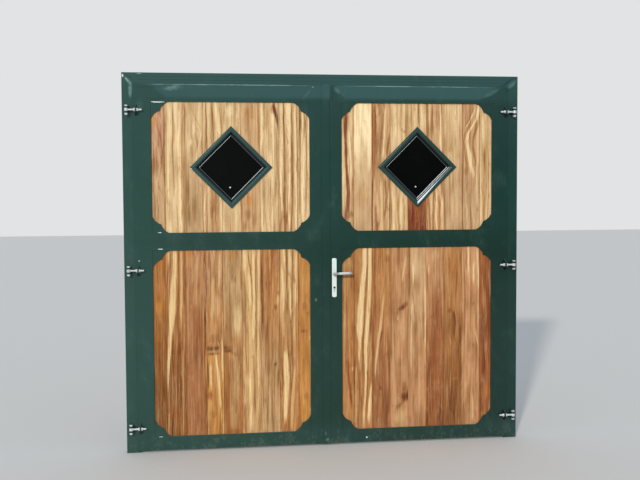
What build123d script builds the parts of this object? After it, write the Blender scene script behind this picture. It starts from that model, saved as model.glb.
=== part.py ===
from build123d import *
import os

os.makedirs("parts", exist_ok=True)

# Steel stable door: a frame and two full-height leaves that open outward.
# Front (outside) is -Y, +Z is up, X = 0 is the meeting line, Y = 0 the middle
# of the leaf thickness, Z = 0 the foot of the frame. All in millimetres.

# ---- frame ----
FRAME_W, FRAME_H = 2550.0, 2390.0
SECTION = 86.0  # face width of the frame tube
WALL = 3.0  # wall of every steel tube
FRAME_FRONT, FRAME_BACK = -17.0, 43.0  # Y of the frame's faces
ANCHOR_Y, ANCHOR_R = 34.0, 5.5  # anchor holes through the jambs
ANCHOR_Z = (250.0, 850.0, 1450.0, 2050.0)

# ---- leaves (left leaf, at negative X; the right one is its mirror image) ----
LEAF_FRONT, LEAF_BACK = -25.0, 25.0
FLANGE_X, TUBE_X, LIP_X = 1208.5, 1185.5, 1098.5  # flange edge, tube side, opening edge
FACE = FLANGE_X - LIP_X  # 110: face of stile and top rail
LIP, LIP_T = 20.0, 10.0  # lip in front of the boards: width, thickness
FLANGE_T = 5.0
GAP_X = 2.5  # half the gap between the leaves
MEET_X = 104.0  # opening edge of the meeting stile
LEAF_TOP, LEAF_FOOT = 2320.0, 12.0
OPEN_TOP, MID_TOP, MID_LOW, OPEN_LOW = 2210.0, 1391.5, 1279.5, 98.0
FILLET = 2.5

# ---- boards ----
BOARD_FRONT, BOARD_BACK = LEAF_FRONT + LIP_T, 13.0  # 28 mm thick
PITCH, VEE, PLAY = 120.0, 2.5, 0.3
REBATE = 16.0  # how far the boards run behind the lips
PANEL_CX = -(LIP_X + MEET_X) / 2
BOARD_OUT, BOARD_IN = -(LIP_X + REBATE), -(MEET_X - REBATE)

# ---- corner plates ----
LEG, CUSP, BULGE = 105.0, 3.0, 9.0
GUSSET_FRONT = LEAF_FRONT + 0.8

# ---- diamond window ----
WIN_Z = (OPEN_TOP + MID_TOP) / 2
TRIM_OUT, TRIM_IN = 368.0, 308.0  # sides of the square trim
APERTURE, PANE, BEAD_IN, SPACER_IN = 330.0, 320.0, 290.0, 274.0

# ---- hinges ----
PIN_X, PIN_Y = 1246.0, -45.0
HINGE_Z = (158.0, 1158.0, 2158.0)
PIN_R, EYE_R, EYE_HALF, EAR_T = 6.0, 12.5, 14.6, 6.0
LUG_X, LUG_T, NUT_AF, NUT_T, ROD_END_X = 1189.0, 8.0, 19.0, 10.0, 1153.0

# ---- lock, on the right leaf ----
LOCK_X, LEVER_Z, KEY_Z = 52.0, 1116.0, 1028.0
PLATE_W, PLATE_LOW, PLATE_TOP, PLATE_T = 30.0, 965.0, 1217.0, 9.0
LATCH_Z, BOLT_Z = 1141.0, 1080.0
LATCH_OUT = 12.0
FORE_LOW, FORE_TOP = 975.0, 1175.0

# ---- shoot bolts, on the inside of the left leaf ----
SHOOT_X, SHOOT_Y, SHOOT_R = -50.0, 33.5, 6.0


def save(part, name):
    part.label = name
    export_step(part, f"parts/{name}.step")


# ---------------------------------------------------------------- frame
with BuildPart() as frame_head:
    with BuildSketch(Plane.XZ.offset(-FRAME_FRONT)):
        Polygon(
            (-FRAME_W / 2, FRAME_H),
            (FRAME_W / 2, FRAME_H),
            (FRAME_W / 2 - SECTION, FRAME_H - SECTION),
            (-FRAME_W / 2 + SECTION, FRAME_H - SECTION),
            align=None,
        )
    extrude(amount=FRAME_FRONT - FRAME_BACK)
    # the inside of the tube
    with BuildSketch(Plane.XZ.offset(-FRAME_FRONT - WALL)):
        Polygon(
            (-FRAME_W / 2 + WALL, FRAME_H - WALL),
            (FRAME_W / 2 - WALL, FRAME_H - WALL),
            (FRAME_W / 2 - SECTION + WALL, FRAME_H - SECTION + WALL),
            (-FRAME_W / 2 + SECTION - WALL, FRAME_H - SECTION + WALL),
            align=None,
        )
    extrude(amount=FRAME_FRONT - FRAME_BACK + 2 * WALL, mode=Mode.SUBTRACT)
    # keep hole of the upper shoot bolt
    with BuildSketch(Plane.XY.offset(FRAME_H - SECTION - 1)):
        with Locations((SHOOT_X, SHOOT_Y)):
            Circle(SHOOT_R + 0.5)
    extrude(amount=WALL + 2, mode=Mode.SUBTRACT)
save(frame_head.part, "frame_head")

with BuildPart() as frame_jamb_left:
    with BuildSketch(Plane.XZ.offset(-FRAME_FRONT)):
        Polygon(
            (-FRAME_W / 2, 0),
            (-FRAME_W / 2 + SECTION, 0),
            (-FRAME_W / 2 + SECTION, FRAME_H - SECTION),
            (-FRAME_W / 2, FRAME_H),
            align=None,
        )
    extrude(amount=FRAME_FRONT - FRAME_BACK)
    with BuildSketch(Plane.XZ.offset(-FRAME_FRONT - WALL)):
        Polygon(
            (-FRAME_W / 2 + WALL, WALL),
            (-FRAME_W / 2 + SECTION - WALL, WALL),
            (-FRAME_W / 2 + SECTION - WALL, FRAME_H - SECTION + WALL),
            (-FRAME_W / 2 + WALL, FRAME_H - WALL),
            align=None,
        )
    extrude(amount=FRAME_FRONT - FRAME_BACK + 2 * WALL, mode=Mode.SUBTRACT)
    # anchor holes, from the doorway through the jamb into the wall
    with BuildSketch(Plane.YZ.offset(-FRAME_W / 2 - 1)):
        with Locations(*[(ANCHOR_Y, z) for z in ANCHOR_Z]):
            Circle(ANCHOR_R)
    extrude(amount=SECTION + 2, mode=Mode.SUBTRACT)
save(frame_jamb_left.part, "frame_jamb_left")

with BuildPart() as frame_jamb_right:
    mirror(frame_jamb_left.part, about=Plane.YZ)
save(frame_jamb_right.part, "frame_jamb_right")

# rubber strips on the frame's face, under the flanges of the leaves
with BuildPart() as frame_seal:
    with BuildSketch(Plane.XZ.offset(-FRAME_FRONT)):
        with Locations((-1198, (LEAF_FOOT + 2306) / 2), (1198, (LEAF_FOOT + 2306) / 2)):
            Rectangle(12, 2306 - LEAF_FOOT)
        with Locations((0, 2311.5)):
            Rectangle(2408, 10)
    extrude(amount=2.6)
save(frame_seal.part, "frame_seal")

# ---------------------------------------------------------------- hinge parts on the frame
with BuildPart() as hinge_brackets:
    for side in (-1, 1):
        for z in HINGE_Z:
            # plate on the jamb
            with BuildSketch(Plane.XZ.offset(-FRAME_FRONT)):
                with Locations((side * PIN_X, z)):
                    Rectangle(30, 62)
            extrude(amount=4)
            # two ears around the pin
            for low in (z + EYE_HALF + 0.4, z - EYE_HALF - 0.4 - EAR_T):
                with BuildSketch(Plane.XY.offset(low)):
                    with Locations((side * PIN_X, (PIN_Y + FRAME_FRONT - 3) / 2)):
                        Rectangle(26, FRAME_FRONT - 3 - PIN_Y)
                    with Locations((side * PIN_X, PIN_Y)):
                        Circle(13)
                    with Locations((side * PIN_X, PIN_Y)):
                        Circle(PIN_R + 0.05, mode=Mode.SUBTRACT)
                extrude(amount=EAR_T)
save(hinge_brackets.part, "hinge_brackets")

EAR_OUT = EYE_HALF + 0.4 + EAR_T  # 21
with BuildPart() as hinge_pins:
    for side in (-1, 1):
        for z in HINGE_Z:
            with BuildSketch(Plane.XY.offset(z - EAR_OUT - NUT_T - 3)):
                with Locations((side * PIN_X, PIN_Y)):
                    Circle(PIN_R)
            extrude(amount=2 * EAR_OUT + NUT_T + 3)
            with BuildSketch(Plane.XY.offset(z + EAR_OUT)):
                with Locations((side * PIN_X, PIN_Y)):
                    RegularPolygon(NUT_AF / 2, 6, major_radius=False)
            extrude(amount=8)
save(hinge_pins.part, "hinge_pins")

with BuildPart() as hinge_lock_nuts:
    for side in (-1, 1):
        for z in HINGE_Z:
            with BuildSketch(Plane.XY.offset(z - EAR_OUT - NUT_T)):
                with Locations((side * PIN_X, PIN_Y)):
                    RegularPolygon(NUT_AF / 2, 6, major_radius=False)
                    Circle(PIN_R + 0.05, mode=Mode.SUBTRACT)
            extrude(amount=NUT_T)
save(hinge_lock_nuts.part, "hinge_lock_nuts")

# ---------------------------------------------------------------- left leaf: steel members
with BuildPart() as left_hinge_stile:
    with BuildSketch(Plane.XY.offset(LEAF_FOOT)) as hinge_section:
        Polygon(
            (-FLANGE_X, LEAF_FRONT),
            (-LIP_X, LEAF_FRONT),
            (-LIP_X, LEAF_FRONT + LIP_T),
            (-LIP_X - LIP, LEAF_FRONT + LIP_T),
            (-LIP_X - LIP, LEAF_BACK),
            (-TUBE_X, LEAF_BACK),
            (-TUBE_X, LEAF_FRONT + FLANGE_T),
            (-FLANGE_X, LEAF_FRONT + FLANGE_T),
            align=None,
        )
        fillet(
            [v for v in hinge_section.vertices() if abs(v.Y - LEAF_FRONT) < 0.01],
            FILLET,
        )
        with Locations((-(TUBE_X + LIP_X + LIP) / 2, 0)):
            Rectangle(
                TUBE_X - LIP_X - LIP - 2 * WALL,
                LEAF_BACK - LEAF_FRONT - 2 * WALL,
                mode=Mode.SUBTRACT,
            )
    extrude(amount=LEAF_TOP - LEAF_FOOT)
    # cap on the foot of the tube
    with BuildSketch(Plane.XY.offset(LEAF_FOOT)):
        with Locations((-(TUBE_X + LIP_X + LIP) / 2, 0)):
            Rectangle(TUBE_X - LIP_X - LIP - WALL, LEAF_BACK - LEAF_FRONT - WALL)
    extrude(amount=WALL)
    # mitre to the top rail
    with BuildSketch(Plane.XZ.offset(40)):
        Polygon(
            (-FLANGE_X - 10, LEAF_TOP + 10),
            (-LIP_X + 10, OPEN_TOP - 10),
            (-LIP_X + 10, LEAF_TOP + 20),
            (-FLANGE_X - 10, LEAF_TOP + 20),
            align=None,
        )
    extrude(amount=-80, mode=Mode.SUBTRACT)
    # the lip stops where the middle and bottom rails meet the stile
    with BuildSketch(Plane.XZ.offset(30)):
        with Locations((-LIP_X - LIP / 2, (MID_TOP + MID_LOW) / 2)):
            Rectangle(LIP, MID_TOP - MID_LOW)
        with Locations((-LIP_X - LIP / 2, (OPEN_LOW + LEAF_FOOT - 2) / 2)):
            Rectangle(LIP, OPEN_LOW - LEAF_FOOT + 2)
    extrude(amount=-16, mode=Mode.SUBTRACT)
save(left_hinge_stile.part, "left_hinge_stile")

with BuildPart() as meeting_stile_blank:
    with BuildSketch(Plane.XY.offset(LEAF_FOOT)) as meeting_section:
        Polygon(
            (-MEET_X, LEAF_FRONT),
            (-GAP_X, LEAF_FRONT),
            (-GAP_X, LEAF_BACK),
            (-MEET_X + LIP, LEAF_BACK),
            (-MEET_X + LIP, LEAF_FRONT + LIP_T),
            (-MEET_X, LEAF_FRONT + LIP_T),
            align=None,
        )
        fillet(
            [v for v in meeting_section.vertices() if abs(v.Y - LEAF_FRONT) < 0.01],
            FILLET,
        )
        with Locations((-(MEET_X - LIP + GAP_X) / 2, 0)):
            Rectangle(
                MEET_X - LIP - GAP_X - 2 * WALL,
                LEAF_BACK - LEAF_FRONT - 2 * WALL,
                mode=Mode.SUBTRACT,
            )
    extrude(amount=LEAF_TOP - LEAF_FOOT)
    with BuildSketch(Plane.XY.offset(LEAF_FOOT)):
        with Locations((-(MEET_X - LIP + GAP_X) / 2, 0)):
            Rectangle(MEET_X - LIP - GAP_X - WALL, LEAF_BACK - LEAF_FRONT - WALL)
    extrude(amount=WALL)
    with BuildSketch(Plane.XZ.offset(40)):
        slope = FACE / (MEET_X - GAP_X)
        Polygon(
            (-GAP_X + 10, LEAF_TOP + 10 * slope),
            (-MEET_X - 10, OPEN_TOP - 10 * slope),
            (-MEET_X - 10, LEAF_TOP + 20),
            (-GAP_X + 10, LEAF_TOP + 20),
            align=None,
        )
    extrude(amount=-80, mode=Mode.SUBTRACT)
    # above the tubes only the front flange runs on, over the frame's head
    with BuildSketch(Plane.XZ.offset(-LEAF_FRONT - FLANGE_T)):
        with Locations((-50, LEAF_TOP - FLANGE_X + TUBE_X + 20)):
            Rectangle(140, 40)
    extrude(amount=-60, mode=Mode.SUBTRACT)
    with BuildSketch(Plane.XZ.offset(30)):
        with Locations((-MEET_X + LIP / 2, (MID_TOP + MID_LOW) / 2)):
            Rectangle(LIP, MID_TOP - MID_LOW)
        with Locations((-MEET_X + LIP / 2, (OPEN_LOW + LEAF_FOOT - 2) / 2)):
            Rectangle(LIP, OPEN_LOW - LEAF_FOOT + 2)
    extrude(amount=-16, mode=Mode.SUBTRACT)

with BuildPart() as left_meeting_stile:
    add(meeting_stile_blank.part)
    # seat of the strike plate in the tube's side
    with BuildSketch(Plane.YZ.offset(-GAP_X - WALL)):
        with Locations((0, (FORE_LOW + FORE_TOP) / 2)):
            Rectangle(24, FORE_TOP - FORE_LOW)
    extrude(amount=WALL, mode=Mode.SUBTRACT)
save(left_meeting_stile.part, "left_meeting_stile")

with BuildPart() as left_top_rail:
    with BuildSketch(Plane.YZ.offset(-FLANGE_X - 5)) as top_section:
        Polygon(
            (LEAF_FRONT, OPEN_TOP),
            (LEAF_FRONT, LEAF_TOP),
            (LEAF_FRONT + FLANGE_T, LEAF_TOP),
            (LEAF_FRONT + FLANGE_T, LEAF_TOP - FLANGE_X + TUBE_X),
            (LEAF_BACK, LEAF_TOP - FLANGE_X + TUBE_X),
            (LEAF_BACK, OPEN_TOP + LIP),
            (LEAF_FRONT + LIP_T, OPEN_TOP + LIP),
            (LEAF_FRONT + LIP_T, OPEN_TOP),
            align=None,
        )
        fillet(
            [v for v in top_section.vertices() if abs(v.X - LEAF_FRONT) < 0.01],
            FILLET,
        )
        with Locations((0, (LEAF_TOP - FLANGE_X + TUBE_X + OPEN_TOP + LIP) / 2)):
            Rectangle(
                LEAF_BACK - LEAF_FRONT - 2 * WALL,
                LEAF_TOP - FLANGE_X + TUBE_X - OPEN_TOP - LIP - 2 * WALL,
                mode=Mode.SUBTRACT,
            )
    extrude(amount=FLANGE_X + 5)
    with BuildSketch(Plane.XZ.offset(40)):
        Polygon(
            (-FLANGE_X - 10, LEAF_TOP + 10),
            (-LIP_X + 10, OPEN_TOP - 10),
            (-LIP_X + 10, OPEN_TOP - 20),
            (-FLANGE_X - 10, OPEN_TOP - 20),
            align=None,
        )
        Polygon(
            (-GAP_X + 10, LEAF_TOP + 10 * slope),
            (-MEET_X - 10, OPEN_TOP - 10 * slope),
            (-MEET_X - 10, OPEN_TOP - 20),
            (-GAP_X + 10, OPEN_TOP - 20),
            align=None,
        )
    extrude(amount=-80, mode=Mode.SUBTRACT)
save(left_top_rail.part, "left_top_rail")

RAIL_L, RAIL_R = -LIP_X - LIP, -MEET_X + LIP  # rails run between the stiles' tubes
with BuildPart() as left_mid_rail:
    with BuildSketch(Plane.YZ.offset(RAIL_L)) as mid_section:
        Polygon(
            (LEAF_FRONT, MID_LOW),
            (LEAF_FRONT, MID_TOP),
            (LEAF_FRONT + LIP_T, MID_TOP),
            (LEAF_FRONT + LIP_T, MID_TOP - LIP),
            (LEAF_BACK, MID_TOP - LIP),
            (LEAF_BACK, MID_LOW + LIP),
            (LEAF_FRONT + LIP_T, MID_LOW + LIP),
            (LEAF_FRONT + LIP_T, MID_LOW),
            align=None,
        )
        fillet(
            [v for v in mid_section.vertices() if abs(v.X - LEAF_FRONT) < 0.01],
            FILLET,
        )
        with Locations((0, (MID_TOP + MID_LOW) / 2)):
            Rectangle(
                LEAF_BACK - LEAF_FRONT - 2 * WALL,
                MID_TOP - MID_LOW - 2 * LIP - 2 * WALL,
                mode=Mode.SUBTRACT,
            )
    extrude(amount=RAIL_R - RAIL_L)
save(left_mid_rail.part, "left_mid_rail")

with BuildPart() as left_bottom_rail:
    with BuildSketch(Plane.YZ.offset(RAIL_L)) as bottom_section:
        Polygon(
            (LEAF_FRONT, LEAF_FOOT),
            (LEAF_FRONT, OPEN_LOW),
            (LEAF_FRONT + LIP_T, OPEN_LOW),
            (LEAF_FRONT + LIP_T, OPEN_LOW - LIP),
            (LEAF_BACK, OPEN_LOW - LIP),
            (LEAF_BACK, LEAF_FOOT),
            align=None,
        )
        fillet(
            [v for v in bottom_section.vertices() if abs(v.X - LEAF_FRONT) < 0.01],
            FILLET,
        )
        with Locations((0, (LEAF_FOOT + OPEN_LOW - LIP) / 2)):
            Rectangle(
                LEAF_BACK - LEAF_FRONT - 2 * WALL,
                OPEN_LOW - LIP - LEAF_FOOT - 2 * WALL,
                mode=Mode.SUBTRACT,
            )
    extrude(amount=RAIL_R - RAIL_L)
save(left_bottom_rail.part, "left_bottom_rail")

# eight corner plates, each with a two-arc edge and a point in the middle
with BuildPart() as left_corner_plates:
    for low, high in ((OPEN_LOW, MID_LOW), (MID_TOP, OPEN_TOP)):
        for cx, sx in ((-LIP_X, 1), (-MEET_X, -1)):
            for cz, sz in ((low, 1), (high, -1)):
                half = LEG / 2
                tip = half + CUSP / 2**0.5
                m1 = ((LEG + tip) / 2 - BULGE / 2**0.5, tip / 2 - BULGE / 2**0.5)
                m2 = (m1[1], m1[0])
                with BuildSketch(Plane.XZ.offset(-GUSSET_FRONT)):
                    with BuildLine():
                        Line((cx, cz), (cx + sx * LEG, cz))
                        ThreePointArc(
                            (cx + sx * LEG, cz),
                            (cx + sx * m1[0], cz + sz * m1[1]),
                            (cx + sx * tip, cz + sz * tip),
                        )
                        ThreePointArc(
                            (cx + sx * tip, cz + sz * tip),
                            (cx + sx * m2[0], cz + sz * m2[1]),
                            (cx, cz + sz * LEG),
                        )
                        Line((cx, cz + sz * LEG), (cx, cz))
                    make_face()
                extrude(amount=GUSSET_FRONT - BOARD_FRONT)
save(left_corner_plates.part, "left_corner_plates")

# ---------------------------------------------------------------- left leaf: boards
JOINTS = [PANEL_CX + PITCH * (k - 3.5) for k in range(8)]
EDGES = [BOARD_OUT] + JOINTS + [BOARD_IN]
MID_Y = (BOARD_FRONT + BOARD_BACK) / 2
BEAD_SCREWS_UP = (
    [(s, z) for s in (-LIP_X - LIP / 2, -MEET_X + LIP / 2) for z in (1440, 1801, 2160)]
    + [(PANEL_CX + d, z) for d in (-360, 0, 360) for z in (MID_TOP - LIP / 2, OPEN_TOP + LIP / 2)]
)
BEAD_SCREWS_LOW = (
    [(s, z) for s in (-LIP_X - LIP / 2, -MEET_X + LIP / 2) for z in (150, 500, 878, 1228)]
    + [(PANEL_CX + d, z) for d in (-360, 0, 360) for z in (OPEN_LOW - LIP / 2, MID_LOW + LIP / 2)]
)

with BuildPart() as left_upper_boards:
    for k in range(9):
        a, b = EDGES[k] + PLAY / 2, EDGES[k + 1] - PLAY / 2
        va, vb = (0 if k == 0 else VEE), (0 if k == 8 else VEE)
        with BuildSketch(Plane.XY.offset(MID_TOP - REBATE)):
            Polygon(
                *(
                    ([(a, BOARD_FRONT)] if k == 0 else [(a, BOARD_FRONT + VEE), (a + VEE, BOARD_FRONT)])
                    + ([(b, BOARD_FRONT)] if k == 8 else [(b - VEE, BOARD_FRONT), (b, BOARD_FRONT + VEE)])
                    + ([] if k == 8 else [(b, MID_Y - 4), (b + 6.5, MID_Y - 4), (b + 6.5, MID_Y + 4), (b, MID_Y + 4)])
                    + ([(b, BOARD_BACK)] if k == 8 else [(b, BOARD_BACK - VEE), (b - VEE, BOARD_BACK)])
                    + ([(a, BOARD_BACK)] if k == 0 else [(a + VEE, BOARD_BACK), (a, BOARD_BACK - VEE)])
                    + ([] if k == 0 else [(a, MID_Y + 4.3), (a + 7.2, MID_Y + 4.3), (a + 7.2, MID_Y - 4.3), (a, MID_Y - 4.3)])
                ),
                align=None,
            )
        extrude(amount=OPEN_TOP - MID_TOP + 2 * REBATE)
    # diamond aperture
    with BuildSketch(Plane.XZ.offset(-BOARD_FRONT + 1)):
        with Locations((PANEL_CX, WIN_Z)):
            Rectangle(APERTURE, APERTURE, rotation=45)
    extrude(amount=-(BOARD_BACK - BOARD_FRONT + 2), mode=Mode.SUBTRACT)
    # screw holes from the inside
    with BuildSketch(Plane.XZ.offset(-BOARD_BACK - 0.5)):
        with Locations(*BEAD_SCREWS_UP):
            Circle(2.5)
    extrude(amount=14.5, mode=Mode.SUBTRACT)
save(left_upper_boards.part, "left_upper_boards")

with BuildPart() as left_lower_boards:
    for k in range(9):
        a, b = EDGES[k] + PLAY / 2, EDGES[k + 1] - PLAY / 2
        with BuildSketch(Plane.XY.offset(OPEN_LOW - REBATE)):
            Polygon(
                *(
                    ([(a, BOARD_FRONT)] if k == 0 else [(a, BOARD_FRONT + VEE), (a + VEE, BOARD_FRONT)])
                    + ([(b, BOARD_FRONT)] if k == 8 else [(b - VEE, BOARD_FRONT), (b, BOARD_FRONT + VEE)])
                    + ([] if k == 8 else [(b, MID_Y - 4), (b + 6.5, MID_Y - 4), (b + 6.5, MID_Y + 4), (b, MID_Y + 4)])
                    + ([(b, BOARD_BACK)] if k == 8 else [(b, BOARD_BACK - VEE), (b - VEE, BOARD_BACK)])
                    + ([(a, BOARD_BACK)] if k == 0 else [(a + VEE, BOARD_BACK), (a, BOARD_BACK - VEE)])
                    + ([] if k == 0 else [(a, MID_Y + 4.3), (a + 7.2, MID_Y + 4.3), (a + 7.2, MID_Y - 4.3), (a, MID_Y - 4.3)])
                ),
                align=None,
            )
        extrude(amount=MID_LOW - OPEN_LOW + 2 * REBATE)
    with BuildSketch(Plane.XZ.offset(-BOARD_BACK - 0.5)):
        with Locations(*BEAD_SCREWS_LOW):
            Circle(2.5)
    extrude(amount=14.5, mode=Mode.SUBTRACT)
save(left_lower_boards.part, "left_lower_boards")

# steel beads that hold the boards from the inside, four round each panel
with BuildPart() as left_panel_beads:
    for low, high in ((OPEN_LOW, MID_LOW), (MID_TOP, OPEN_TOP)):
        for cx in (-LIP_X - LIP / 2, -MEET_X + LIP / 2):
            with BuildSketch(Plane.XZ.offset(-BOARD_BACK)):
                with Locations((cx, (low + high) / 2)):
                    Rectangle(LIP, high - low + 2 * LIP)
            extrude(amount=-(LEAF_BACK - BOARD_BACK))
        for cz in (low - LIP / 2, high + LIP / 2):
            with BuildSketch(Plane.XZ.offset(-BOARD_BACK)):
                with Locations((PANEL_CX, cz)):
                    Rectangle(LIP_X - MEET_X - 0.6, LIP)
            extrude(amount=-(LEAF_BACK - BOARD_BACK))
    with BuildSketch(Plane.XZ.offset(-BOARD_BACK + 1)):
        with Locations(*(BEAD_SCREWS_UP + BEAD_SCREWS_LOW)):
            Circle(2.6)
    extrude(amount=-(LEAF_BACK - BOARD_BACK + 2), mode=Mode.SUBTRACT)
save(left_panel_beads.part, "left_panel_beads")

with BuildPart() as left_bead_screws:
    with BuildSketch(Plane.XZ.offset(-BOARD_BACK + 13)):
        with Locations(*(BEAD_SCREWS_UP + BEAD_SCREWS_LOW)):
            Circle(2.4)
    extrude(amount=-(LEAF_BACK - BOARD_BACK + 13))
    with BuildSketch(Plane.XZ.offset(-LEAF_BACK)):
        with Locations(*(BEAD_SCREWS_UP + BEAD_SCREWS_LOW)):
            Circle(4.6)
    extrude(amount=-2.6)
save(left_bead_screws.part, "left_bead_screws")

# ---------------------------------------------------------------- left leaf: window
# planes of the four sides of the window: local Y points out of the diamond
WIN = [
    Plane(origin=(PANEL_CX, 0, WIN_Z), x_dir=d, z_dir=(0, -1, 0))
    for d in ((1, 0, 1), (-1, 0, 1), (-1, 0, -1), (1, 0, -1))
]

with BuildPart() as left_window_trim_outside:
    for bar in WIN:
        # one mitred bar on the outer side: flange on the boards, leg into the aperture
        o, i, leg, c = TRIM_OUT / 2, TRIM_IN / 2, TRIM_IN / 2 + 9, 0.15
        with BuildSketch(bar.offset(-BOARD_FRONT)):
            Polygon((-o + c, o), (o - c, o), (i - c, i), (-i + c, i), align=None)
        extrude(amount=9)
        with BuildSketch(bar.offset(-BOARD_FRONT + 9)):
            Polygon((-o + 6 + c, o - 6), (o - 6 - c, o - 6), (i + 3 - c, i + 3), (-i - 3 + c, i + 3), align=None)
        extrude(amount=3)
        with BuildSketch(bar.offset(-BOARD_FRONT)):
            Polygon((-leg + c, leg), (leg - c, leg), (i - c, i), (-i + c, i), align=None)
        extrude(amount=-8)
save(left_window_trim_outside.part, "left_window_trim_outside")

with BuildPart() as left_window_trim_inside:
    for bar in WIN:
        # flange on the boards, and a lip over the edge of the glass
        o, i, lip, c = TRIM_OUT / 2, PANE / 2 + 1, BEAD_IN / 2, 0.15
        with BuildSketch(bar.offset(-24)):
            Polygon((-o + c, o), (o - c, o), (i - c, i), (-i + c, i), align=None)
        extrude(amount=24 - BOARD_BACK)
        with BuildSketch(bar.offset(-24)):
            Polygon((-i - 1 + c, i + 1), (i + 1 - c, i + 1), (lip - c, lip), (-lip + c, lip), align=None)
        extrude(amount=6)
save(left_window_trim_inside.part, "left_window_trim_inside")

# black gaskets in front of and behind the glass
with BuildPart() as left_window_gaskets:
    for low, high in ((-7.0, -3.0), (15.0, 18.0)):
        with BuildSketch(Plane.XZ.offset(-high)):
            with Locations((PANEL_CX, WIN_Z)):
                Rectangle(PANE, PANE, rotation=45)
                Rectangle(BEAD_IN, BEAD_IN, rotation=45, mode=Mode.SUBTRACT)
        extrude(amount=high - low)
save(left_window_gaskets.part, "left_window_gaskets")

with BuildPart() as left_window_panes:
    for low, high in ((-3.0, 1.0), (11.0, 15.0)):
        with BuildSketch(Plane.XZ.offset(-high)):
            with Locations((PANEL_CX, WIN_Z)):
                Rectangle(PANE, PANE, rotation=45)
        extrude(amount=high - low)
save(left_window_panes.part, "left_window_panes")

with BuildPart() as left_window_spacer:
    with BuildSketch(Plane.XZ.offset(-11)):
        with Locations((PANEL_CX, WIN_Z)):
            Rectangle(BEAD_IN, BEAD_IN, rotation=45)
            Rectangle(SPACER_IN, SPACER_IN, rotation=45, mode=Mode.SUBTRACT)
    extrude(amount=10)
save(left_window_spacer.part, "left_window_spacer")

# ---------------------------------------------------------------- left leaf: hinge parts
with BuildPart() as left_eye_bolts:
    for z in HINGE_Z:
        with BuildSketch(Plane.YZ.offset(-PIN_X)):
            with Locations((PIN_Y, z)):
                Circle(PIN_R)
        extrude(amount=PIN_X - ROD_END_X)
        with BuildSketch(Plane.XY.offset(z - EYE_HALF)):
            with Locations((-PIN_X, PIN_Y)):
                Circle(EYE_R)
        extrude(amount=2 * EYE_HALF)
        with BuildSketch(Plane.XY.offset(z - EYE_HALF)):
            with Locations((-PIN_X, PIN_Y)):
                Circle(PIN_R + 0.08)
        extrude(amount=2 * EYE_HALF, mode=Mode.SUBTRACT)
save(left_eye_bolts.part, "left_eye_bolts")

with BuildPart() as left_hinge_lugs:
    for z in HINGE_Z:
        with BuildSketch(Plane.YZ.offset(-LUG_X - LUG_T / 2)) as lug_face:
            Polygon(
                (LEAF_FRONT, z - 38),
                (LEAF_FRONT, z + 38),
                (PIN_Y - 17, z + 15),
                (PIN_Y - 17, z - 15),
                align=None,
            )
            fillet([v for v in lug_face.vertices() if v.X < PIN_Y], 9)
            with Locations((PIN_Y, z)):
                Circle(PIN_R + 0.5, mode=Mode.SUBTRACT)
        extrude(amount=LUG_T)
save(left_hinge_lugs.part, "left_hinge_lugs")

with BuildPart() as left_adjusting_nuts:
    for z in HINGE_Z:
        for x in (-LUG_X - LUG_T / 2 - NUT_T, -LUG_X + LUG_T / 2):
            with BuildSketch(Plane.YZ.offset(x)):
                with Locations((PIN_Y, z)):
                    RegularPolygon(NUT_AF / 2, 6, major_radius=False)
                    Circle(PIN_R + 0.05, mode=Mode.SUBTRACT)
            extrude(amount=NUT_T)
save(left_adjusting_nuts.part, "left_adjusting_nuts")

# ---------------------------------------------------------------- left leaf: strike and shoot bolts
with BuildPart() as strike_plate:
    with BuildSketch(Plane.YZ.offset(-GAP_X - WALL)):
        with Locations((0, (FORE_LOW + FORE_TOP) / 2)):
            Rectangle(24, FORE_TOP - FORE_LOW)
        with Locations((0, LATCH_Z)):
            Rectangle(17, 24, mode=Mode.SUBTRACT)
        with Locations((0, BOLT_Z)):
            Rectangle(13, 34, mode=Mode.SUBTRACT)
    extrude(amount=WALL)
save(strike_plate.part, "strike_plate")

with BuildPart() as shoot_bolt_guides:
    for z, eyes in ((2155.0, (2060.0, 2250.0)), (175.0, (80.0, 270.0))):
        with BuildSketch(Plane.XZ.offset(-LEAF_BACK)):
            with Locations((SHOOT_X, z)):
                Rectangle(36, 230)
        extrude(amount=-2)
        for e in eyes:
            with BuildSketch(Plane.XY.offset(e - 7)):
                with Locations((SHOOT_X, 34.5)):
                    Rectangle(24, 16)
                with Locations((SHOOT_X, SHOOT_Y)):
                    Circle(SHOOT_R + 0.3, mode=Mode.SUBTRACT)
            extrude(amount=14)
save(shoot_bolt_guides.part, "shoot_bolt_guides")

with BuildPart() as shoot_bolt_top:
    with BuildSketch(Plane.XY.offset(2030)):
        with Locations((SHOOT_X, SHOOT_Y)):
            Circle(SHOOT_R)
    extrude(amount=268)
    chamfer(shoot_bolt_top.edges().group_by(Axis.Z)[-1], 1.5)
    with BuildSketch(Plane.XZ.offset(-SHOOT_Y)):
        with Locations((SHOOT_X, 2130)):
            Circle(5)
    extrude(amount=-24)
    fillet(shoot_bolt_top.edges().group_by(Axis.Y)[-1], 2)
save(shoot_bolt_top.part, "shoot_bolt_top")

with BuildPart() as shoot_bolt_bottom:
    with BuildSketch(Plane.XY.offset(16)):
        with Locations((SHOOT_X, SHOOT_Y)):
            Circle(SHOOT_R)
    extrude(amount=284)
    chamfer(shoot_bolt_bottom.edges().group_by(Axis.Z)[0], 1.5)
    with BuildSketch(Plane.XZ.offset(-SHOOT_Y)):
        with Locations((SHOOT_X, 200)):
            Circle(5)
    extrude(amount=-24)
    fillet(shoot_bolt_bottom.edges().group_by(Axis.Y)[-1], 2)
save(shoot_bolt_bottom.part, "shoot_bolt_bottom")

# ---------------------------------------------------------------- right leaf: the same pieces mirrored
with BuildPart() as right_hinge_stile:
    mirror(left_hinge_stile.part, about=Plane.YZ)
save(right_hinge_stile.part, "right_hinge_stile")

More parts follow.
